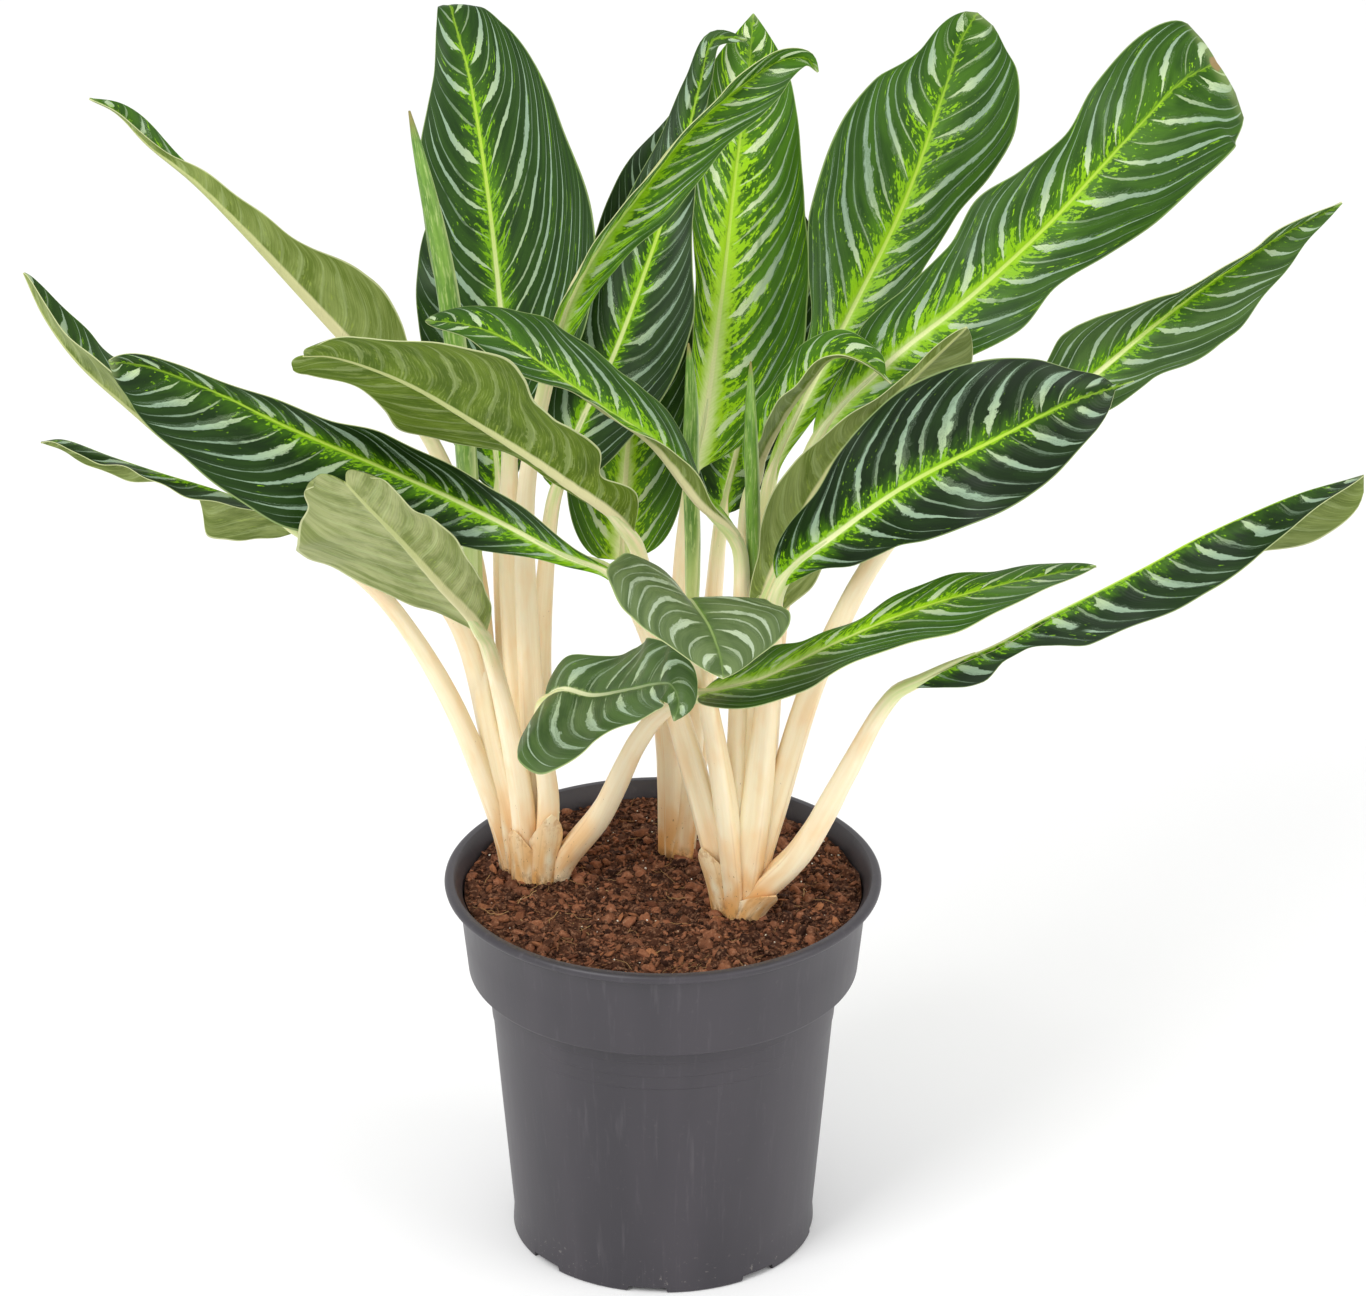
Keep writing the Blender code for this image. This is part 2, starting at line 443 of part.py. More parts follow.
def tube(points, ways, radii, sides):
    """A closed tube round a path, its rings carried along without twisting."""
    shape = bmesh.new()
    side = Vector((1, 0, 0))
    rings = []
    for point, way, radius in zip(points, ways, radii):
        side = (side - way * side.dot(way)).normalized()
        other = way.cross(side)
        ring = []
        for k in range(sides):
            turn = 2 * math.pi * k / sides
            ring.append(shape.verts.new(point + (side * math.cos(turn) + other * math.sin(turn)) * radius))
        rings.append(ring)
    for low, high in zip(rings, rings[1:]):
        for k in range(sides):
            after = (k + 1) % sides
            shape.faces.new((low[k], low[after], high[after], high[k]))
    shape.faces.new(rings[0])
    shape.faces.new(rings[-1])
    return shape


def outline(share, widest, taper):
    """Half-width of a blade along its length, 1 where it is widest; a small taper gives it blunt ends."""
    near, far = taper * widest, taper * (1 - widest)
    return share ** near * (1 - share) ** far / (widest ** near * (1 - widest) ** far)


def blend(values, share):
    """The value at a share of the way through two or more values set evenly."""
    place = min(max(share, 0.0), 1.0) * (len(values) - 1)
    at = min(int(place), len(values) - 2)
    return values[at] + (values[at + 1] - values[at]) * (place - at)


def slope(before, after):
    """The slope of a smooth curve between two straight stretches, level at a peak or a dip."""
    return 2 * before * after / (before + after) if before * after > 0 else 0.0


def graded(table, share):
    """Values at a share along a table of (share, value, ...) rows, on a smooth curve through every row."""
    at = max(k for k in range(len(table) - 1) if k == 0 or share >= table[k][0])
    low, high = table[at], table[at + 1]
    before, after = table[max(at - 1, 0)], table[min(at + 2, len(table) - 1)]
    span = high[0] - low[0]
    part = (share - low[0]) / span
    values = []
    for k in range(1, len(low)):
        rise = (high[k] - low[k]) / span
        start = slope((low[k] - before[k]) / (low[0] - before[0]), rise) if at else rise
        end = slope(rise, (after[k] - high[k]) / (after[0] - high[0])) if after is not high else rise
        value = low[k] + (high[k] - low[k]) * part * part * (3 - 2 * part)
        values.append(value + span * part * (1 - part) * (start * (1 - part) - end * part))
    return values


def near_ends(s):
    """How near a share of the length is to the base and to the tip, 1 at the end and 0 from END_PART on."""
    return max(0.0, 1 - s / END_PART), max(0.0, 1 - (1 - s) / END_PART)


def half_widths(leaf, s, shape):
    """The left and right half-widths of a blade at share s, from the shape of its kind and its own edges."""
    base, tip = near_ends(s)
    base_width, tip_width = leaf.get("blunt", (0, 0))
    width = math.hypot(leaf["half"] * MM * shape, base * base_width * MM, tip * tip_width * MM)
    left, right = graded(leaf["edge"], s) if "edge" in leaf else (1, 1)
    skew = leaf.get("skew", 0)
    return width * (1 - skew) * left, width * (1 + skew) * right


def lobe(leaf, s, t):
    """How far along the leaf its edge reaches past the midrib's own end, for a notched base or tip."""
    base, tip = near_ends(s)
    base_lobe, tip_lobe = leaf.get("lobes", (0, 0))
    outer = max(0.0, t - 0.5) * 2
    return (tip_lobe * tip ** 2 * 4 * t * (1 - t) - base_lobe * (base * outer) ** 2) * MM


def bent(reach, fold, curl):
    """How far out and up half a blade comes at a reach along it: it starts at fold and turns by curl."""
    if abs(curl) < 1e-4:
        return reach * math.cos(fold), reach * math.sin(fold)
    out = (math.sin(fold + curl) - math.sin(fold)) / curl
    lift = (math.cos(fold) - math.cos(fold + curl)) / curl
    return reach * out, reach * lift


def blade_row(leaf, s, point, way):
    """The seven points across a blade at share s of its length, on its upper side and underneath."""
    up = blend([Vector(face) for face in leaf["face"]], s)
    up = (up - way * up.dot(way)).normalized()
    side = way.cross(up)
    fold = math.radians(blend(leaf["fold"], s))
    curl = math.radians(blend(leaf["curl"], s))
    shape = outline(s, leaf["widest"], leaf.get("taper", USUAL_TAPER))
    least = BASE_HALF_WIDTH if s < 0.5 else TIP_HALF_WIDTH
    left, right = (max(width, least) for width in half_widths(leaf, s, shape))
    fold *= min(1.0, left / FOLDED_LEAST, right / FOLDED_LEAST)
    rib = min(MIDRIB_HALF_WIDTH * (1.15 - s), left * 0.4, right * 0.4)
    top, low = [], []
    for spot in (-left, -SIDE_COLUMN * left, -rib, 0.0, rib, SIDE_COLUMN * right, right):
        hand = -1 if spot < 0 else 1
        t = abs(spot) / (left if spot < 0 else right)
        out, lift = bent(abs(spot), fold, curl * t)
        wave = leaf["ripple"] * MM * t ** 2 * math.sin(2 * math.pi * RIPPLES * s + hand * 1.3)
        lift += wave * min(1.0, s * 4, (1 - s) * 4)
        lean = fold + curl * t if t else 0.0
        normal = up * math.cos(lean) - side * hand * math.sin(lean)
        place = point + side * hand * out + up * lift + way * lobe(leaf, s, t)
        under = BLADE_THICKNESS / 2
        if t == 0:
            under += MIDRIB_DEPTH * (1.0 - 0.85 * s)
        top.append(place + normal * BLADE_THICKNESS / 2)
        low.append(place - normal * under)
    return top, low


def blade_shape(leaf):
    """A thin closed solid: seven points across at each station, both sides split alike, midrib underneath."""
    _, (points, ways) = stalk_and_blade(leaf)
    shape = bmesh.new()
    tops, lows = [], []
    for s, point, way in zip(STATIONS, points, ways):
        top, low = blade_row(leaf, s, point, way)
        tops.append([shape.verts.new(place) for place in top])
        lows.append([shape.verts.new(place) for place in low])
    last = len(STATIONS) - 1
    for i in range(last):
        for j in range(6):
            for grid, flip in ((tops, False), (lows, True)):
                a, b, c, d = grid[i][j], grid[i][j + 1], grid[i + 1][j + 1], grid[i + 1][j]
                pair = ((a, b, c), (a, c, d)) if j < 3 else ((a, b, d), (b, c, d))
                for face in pair:
                    shape.faces.new(tuple(reversed(face)) if flip else face)
        for j in (0, 6):
            a, b, c, d = tops[i][j], tops[i + 1][j], lows[i + 1][j], lows[i][j]
            shape.faces.new((a, b, c, d) if j == 0 else (d, c, b, a))
    for i in (0, last):
        for j in range(6):
            a, b, c, d = tops[i][j], tops[i][j + 1], lows[i][j + 1], lows[i][j]
            shape.faces.new((d, c, b, a) if i == 0 else (a, b, c, d))
    return shape


def stalk_shape(leaf):
    """A stalk from inside its crown to the blade, thick and sheathing at the foot."""
    (points, ways), _ = stalk_and_blade(leaf)
    return tube(points, ways, STALK_RADII, STALK_SIDES)


def make_pot(look):
    """One moulding: foot ring round a middle pad, tapered body, stepped collar and a thick rolled lip."""
    foot_in = BASE_RADIUS - FOOT_RING_WIDTH
    lip_low = POT_HEIGHT - LIP_DEPTH
    wall_low = BASE_RADIUS - WALL - 0.8 * MM
    wall_high = BODY_TOP_RADIUS - WALL - 0.2 * MM
    profile = [
        (0, 0.0),
        (PAD_RADIUS, 0.0),
        (PAD_RADIUS + 1.0 * MM, FLOOR_UNDERSIDE),
        (foot_in - 1.0 * MM, FLOOR_UNDERSIDE),
        (foot_in, 0.0),
        (BASE_RADIUS - EDGE, 0.0),
        (BASE_RADIUS, EDGE),
        (BODY_TOP_RADIUS, COLLAR_BOTTOM_Z - EDGE),
        (BODY_TOP_RADIUS + 0.8 * MM, COLLAR_BOTTOM_Z),
        (COLLAR_BOTTOM_RADIUS - EDGE / 2, COLLAR_BOTTOM_Z),
        (COLLAR_BOTTOM_RADIUS, COLLAR_BOTTOM_Z + EDGE / 2),
        (COLLAR_TOP_RADIUS, lip_low - EDGE),
        (COLLAR_TOP_RADIUS + EDGE, lip_low),
        (LIP_RADIUS - EDGE, lip_low),
        (LIP_RADIUS, lip_low + EDGE),
        (LIP_RADIUS, POT_HEIGHT - EDGE),
        (LIP_RADIUS - EDGE, POT_HEIGHT),
        (COLLAR_TOP_RADIUS + EDGE, POT_HEIGHT),
        (COLLAR_TOP_RADIUS - WALL, POT_HEIGHT - LIP_INSIDE_DROP),
        (COLLAR_BOTTOM_RADIUS - WALL - 0.2 * MM, COLLAR_BOTTOM_Z + 2 * EDGE),
        (wall_high + 1.0 * MM, COLLAR_BOTTOM_Z + EDGE),
        (wall_high, COLLAR_BOTTOM_Z - EDGE / 2),
        (wall_low, FLOOR_TOP + 1.6 * MM),
        (wall_low - 1.6 * MM, FLOOR_TOP),
        (0, FLOOR_TOP),
    ]
    pot = finish("pot", turned(profile, POT_SIDES), look, sharp=30)
    cutters = []
    for k in range(DRAIN_ARCHES):
        turn = math.radians(FIRST_ARCH + 360 / DRAIN_ARCHES * k)
        arch = bmesh.new()
        size = Matrix.Diagonal((DRAIN_ARCH_REACH, DRAIN_ARCH_WIDTH, 2 * DRAIN_ARCH_HEIGHT, 1.0))
        place = Matrix.Rotation(turn, 4, "Z") @ Matrix.Translation((BASE_RADIUS - 1.0 * MM, 0, 0)) @ size
        bmesh.ops.create_cube(arch, size=1.0, matrix=place)
        cutters.append(finish("cut_arch_%d" % k, arch, look))
    for k in range(FLOOR_HOLES):
        turn = math.radians(45 + 360 / FLOOR_HOLES * k)
        x, y = FLOOR_HOLE_CIRCLE * math.cos(turn), FLOOR_HOLE_CIRCLE * math.sin(turn)
        hole = cylinder(FLOOR_HOLE_RADIUS, -FLOOR_TOP, 2 * FLOOR_TOP, x, y, 16)
        cutters.append(finish("cut_drain_%d" % k, hole, look))
    cut_all(pot, cutters, "DIFFERENCE")
    return pot


def cut_all(target, tools, how):
    """One Boolean with all the tools in a collection, applied, and the tools then removed."""
    group = bpy.data.collections.new(target.name + "_tools")
    for tool in tools:
        group.objects.link(tool)
    step = target.modifiers.new("join", "BOOLEAN")
    step.operation = how
    step.operand_type = "COLLECTION"
    step.collection = group
    step.solver = "EXACT"
    bpy.context.view_layer.objects.active = target
    for item in bpy.context.selected_objects:
        item.select_set(False)
    target.select_set(True)
    bpy.context.view_layer.update()
    bpy.ops.object.modifier_apply(modifier=step.name)
    for tool in tools:
        bpy.data.objects.remove(tool, do_unlink=True)
    bpy.data.collections.remove(group)


def soil_top(x, y, z):
    """Uneven soil, a little higher in the middle; only the top surface is uneven."""
    if z < SOIL_EDGE_Z - 1.0 * MM:
        return z
    rough = math.sin(x * 310 + 1.1) * math.cos(y * 270 + 0.4) + math.sin(x * 150 - y * 190) * 0.8
    calm = min(1.0, (COLLAR_TOP_RADIUS - 2.8 * MM - math.hypot(x, y)) * 200 + 0.35)
    return z + SOIL_ROUGHNESS * rough * calm


def make_soil(look):
    """All the potting mix, just clear of the pot's inside, with a plain hole for each crown."""
    low = BASE_RADIUS - WALL - 3.6 * MM - SOIL_CLEARANCE
    body = BODY_TOP_RADIUS - WALL - 0.4 * MM - SOIL_CLEARANCE
    collar = COLLAR_BOTTOM_RADIUS - WALL - 0.3 * MM - SOIL_CLEARANCE
    slope = (COLLAR_TOP_RADIUS - COLLAR_BOTTOM_RADIUS) / (POT_HEIGHT - COLLAR_BOTTOM_Z)
    edge = collar + slope * (SOIL_EDGE_Z - COLLAR_BOTTOM_Z - 4 * MM) - 0.4 * MM
    profile = [
        (0, FLOOR_TOP + 0.4 * MM),
        (low, FLOOR_TOP + 0.4 * MM),
        (low + 1.2 * MM, FLOOR_TOP + 2.2 * MM),
        (body, COLLAR_BOTTOM_Z - 1.0 * MM),
        (body + 0.8 * MM, COLLAR_BOTTOM_Z + 2.0 * MM),
        (collar, COLLAR_BOTTOM_Z + 3.4 * MM),
        (edge, SOIL_EDGE_Z),
    ]
    for k in range(1, SOIL_RINGS):
        share = k / SOIL_RINGS
        profile.append((edge * (1 - share), SOIL_EDGE_Z + SOIL_CROWN_RISE * math.sin(math.pi / 2 * share)))
    profile.append((0, SOIL_EDGE_Z + SOIL_CROWN_RISE))
    soil = finish("soil", turned(profile, SOIL_SIDES, soil_top), look)
    holes = []
    for name, (x, y, radius) in CROWNS.items():
        hole = cylinder(radius * MM + CANE_GAP, CANE_FOOT - CANE_GAP, 2 * SOIL_EDGE_Z, x * MM, y * MM, 24)
        holes.append(finish("cut_" + name, hole, look))
    cut_all(soil, holes, "DIFFERENCE")
    return soil


def make_crown(name, look):
    """The cane with every leaf stalk of that crown, joined as one body."""
    x, y, radius = CROWNS[name]
    cane = cylinder(radius * MM, CANE_FOOT, CANE_TOP, x * MM, y * MM, 24)
    crown = finish("stalks_" + name, cane, look)
    parts = []
    for leaf_name, leaf in list(LEAVES.items()) + list(SPEARS.items()):
        if leaf["crown"] == name:
            parts.append(finish("part_" + leaf_name, stalk_shape(leaf), look))
    cut_all(crown, parts, "UNION")
    return crown


def make_spear(name, spear, look):
    """A leaf still rolled up, pointed at its top, that stands on its own stalk."""
    _, (points, ways) = stalk_and_blade(spear)
    radii = [spear["radius"] * MM * share for share in SPEAR_THICKNESS]
    return finish("spear_" + name, tube(points, ways, radii, 7), look)


def main():
    clear_scene()
    pot_look = material("pot_plastic", POT_GREY, 0.45)
    soil_look = material("soil", SOIL_BROWN, 0.95)
    stalk_look = material("stalk", STALK_CREAM, 0.5)
    dark_look = material("leaf_dark", LEAF_DARK, 0.4)
    young_look = material("leaf_young", LEAF_YOUNG, 0.4)
    spear_look = material("spear", SPEAR_GREEN, 0.45)
    make_pot(pot_look)
    make_soil(soil_look)
    for name in CROWNS:
        make_crown(name, stalk_look)
    for name, leaf in LEAVES.items():
        look = young_look if name in YOUNG else dark_look
        finish("leaf_" + name, blade_shape(leaf), look, sharp=60)
    for name, spear in SPEARS.items():
        make_spear(name, spear, spear_look)


main()
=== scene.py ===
"""Looks of a potted chinese evergreen: patterned blades, cream stalks, peat and bark, and a grey nursery pot.

Metres, +Z up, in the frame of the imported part, which is loaded first and never changed. The plant faces -Y.
Leaf points are in millimetres from the middle of the pot's underside. They are those of the part's source,
but for the ends of a few leaves, which are finer here.
"""

import json
import math
import random

import bmesh
import bpy
import numpy as np
from mathutils import Matrix, Vector, noise

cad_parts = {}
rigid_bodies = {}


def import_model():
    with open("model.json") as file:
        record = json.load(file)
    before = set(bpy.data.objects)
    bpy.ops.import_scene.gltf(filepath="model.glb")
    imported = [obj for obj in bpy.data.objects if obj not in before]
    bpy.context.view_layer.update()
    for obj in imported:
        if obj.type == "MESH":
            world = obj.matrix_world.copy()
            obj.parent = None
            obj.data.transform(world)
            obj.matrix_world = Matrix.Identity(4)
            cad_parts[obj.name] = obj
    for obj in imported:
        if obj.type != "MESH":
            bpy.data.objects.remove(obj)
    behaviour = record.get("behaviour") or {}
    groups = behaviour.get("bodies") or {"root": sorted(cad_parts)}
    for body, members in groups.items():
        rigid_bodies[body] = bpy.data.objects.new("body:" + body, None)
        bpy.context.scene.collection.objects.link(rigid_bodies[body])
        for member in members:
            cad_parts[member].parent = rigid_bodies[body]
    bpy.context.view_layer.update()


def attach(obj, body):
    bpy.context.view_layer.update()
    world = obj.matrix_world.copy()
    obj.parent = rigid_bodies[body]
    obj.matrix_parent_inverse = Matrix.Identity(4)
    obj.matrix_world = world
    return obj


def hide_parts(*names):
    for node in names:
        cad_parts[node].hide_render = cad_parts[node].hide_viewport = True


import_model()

MM = 0.001
CM = 0.01

# Camera, as the photograph was taken
CAMERA_PLACE = (0.0087, -2.8810, 1.6737)
CAMERA_TILT = 64.2
CAMERA_LENS = 196.9
SENSOR_WIDTH = 36.0

# Each light: its name, place, size and power in watts
LIGHTS = (
    ("key", (-1.5, -1.7, 2.1), 1.3, 42.0),
    ("fill", (1.9, -1.0, 1.3), 1.6, 17.0),
)
LIGHTS_AIM = (0.0, 0.0, 0.3)
SKY_STRENGTH = 0.92
FLOOR_HALF_SIZE = 15.0

# Pot, as in the part's source
POT_HEIGHT = 0.172
LIP_RADIUS = 0.095
LIP_DEPTH = 0.0042
LIP_INSIDE_DROP = 0.0055
EDGE = 0.0013
COLLAR_TOP_RADIUS = 0.0890
COLLAR_BOTTOM_RADIUS = 0.0850
COLLAR_BOTTOM_Z = 0.128
BODY_TOP_RADIUS = 0.0774
BASE_RADIUS = 0.0665
WALL = 0.0015
FLOOR_UNDERSIDE = 0.0035
FLOOR_TOP = 0.0055
FOOT_RING_WIDTH = 0.0042
PAD_RADIUS = 0.013
DRAIN_ARCHES = 8
DRAIN_ARCH_WIDTH = 0.019
DRAIN_ARCH_HEIGHT = 0.0028
DRAIN_ARCH_REACH = 0.016
FIRST_ARCH = -96
FLOOR_HOLES = 4
FLOOR_HOLE_RADIUS = 0.005
FLOOR_HOLE_CIRCLE = 0.040

# Pot, its finer form here
POT_SIDES = 192
RING_LINES = (0.0080, 0.0150, 0.0215)
RING_LINE_STEP = 0.00036
BODY_STEPS = 14

# Soil
SOIL_EDGE_Z = 0.1650
SOIL_CROWN_RISE = 0.0015
SOIL_CLEARANCE = 0.0007
SOIL_SIDES = 150
SOIL_RINGS = 60
SOIL_LUMPS = 0.0026
FIBRES = 110
WHITE_SPECKS = 110

# Crumbs, clods and bark chips on the soil: how many, the lump they start from, sizes in millimetres,
# stretches, how high they sit, how the tones are spread, the kind, the room they need and the share that is
# left out at the back
GRAINS = (
    dict(count=5600, lump="small", sizes=(0.4, 1.3), stretches=((0.9, 2.4), (0.5, 1.0), (0.4, 0.8)),
         rise=0.3, spread=1.4, kind=0.0),
    dict(count=430, lump="large", sizes=(1.5, 3.1), stretches=((0.8, 1.4), (0.7, 1.1), (0.5, 0.8)),
         rise=0.15, spread=1.0, kind=0.0),
    dict(count=240, lump="small", sizes=(0.9, 2.6), stretches=((1.1, 1.9), (0.5, 1.0), (0.22, 0.45)),
         rise=0.35, spread=1.5, kind=1.0, room=1.6, thinned=0.35),
)

# Crowns: centre and radius of the cane at the soil, in millimetres
CROWNS = {
    "left": (-56.0, 15.0, 19.0),
    "back": (6.0, 33.0, 10.5),
    "right": (33.0, -21.0, 12.5),
}

# Blades
BLADE_ROWS = 110
BLADE_COLUMNS = 15
COLUMN_CROWDING = 1.22
BLADE_THICKNESS = 0.0006
MARGIN_THICKNESS = 0.00035
BASE_HALF_WIDTH = 0.0028
TIP_HALF_WIDTH = 0.0003
TIP_START = 0.95
TIP_WIDTH = 0.0045
TIP_BLUNTNESS = 0.86
RIB_DEPTH = 0.0030
RIB_HALF_WIDTH = 0.0024
GROOVE_DEPTH = 0.0009
GROOVE_HALF_WIDTH = 0.0016
QUILT = 0.00028
RIPPLES = 2.3
FINE_RIPPLES = 6.1
FINE_RIPPLE_SHARE = 0.30
UNEVENNESS = 0.0011
USUAL_TAPER = 1.3
END_PART = 0.18
VEIN_SPACING = 1.20
VEIN_LEAD = (0.48, 0.35, 0.65)
VEIN_WANDER = 0.55
LEAF_SPECULAR = 0.16

# Stalks
STALK_GAP = 0.0003
ROOT_HEIGHTS = (146, 168)
CURVE_STEPS = 24
STALK_RADII = (0.0050, 0.0052, 0.0055, 0.0054, 0.0050, 0.0045, 0.0040, 0.0035, 0.0031)
STALK_RINGS = 60
STALK_SIDES = 28
STALK_OVERLAP = 0.16
FOOT_SWELL = 0.05
FOOT_SWELL_HEIGHT = 0.010
CHANNEL_DEPTH = 0.24
CHANNEL_HALF_ANGLE = 0.42
RIDGE_HEIGHT = 0.13
RIDGE_ANGLE = 0.85
RIDGE_HALF_ANGLE = 0.26

# How clear a stalk's sheath is, and how far the stalk sinks under the blade, along its length
SHEATH_CLEAR = ((0.0, 1.0), (0.45, 0.9), (0.72, 0.25), (1.0, 0.15), (9.0, 0.0))
STALK_SINK = ((0.0, 0.0), (0.95, 0.0), (1.06, 1.0), (9.0, 1.0))

# Loose sheaths
SHEATH_ROWS = 22
SHEATH_COLUMNS = 17
SHEATH_START = 0.014
SHEATH_STAND_OFF = 0.0015
SHEATH_THICKNESS = 0.0006

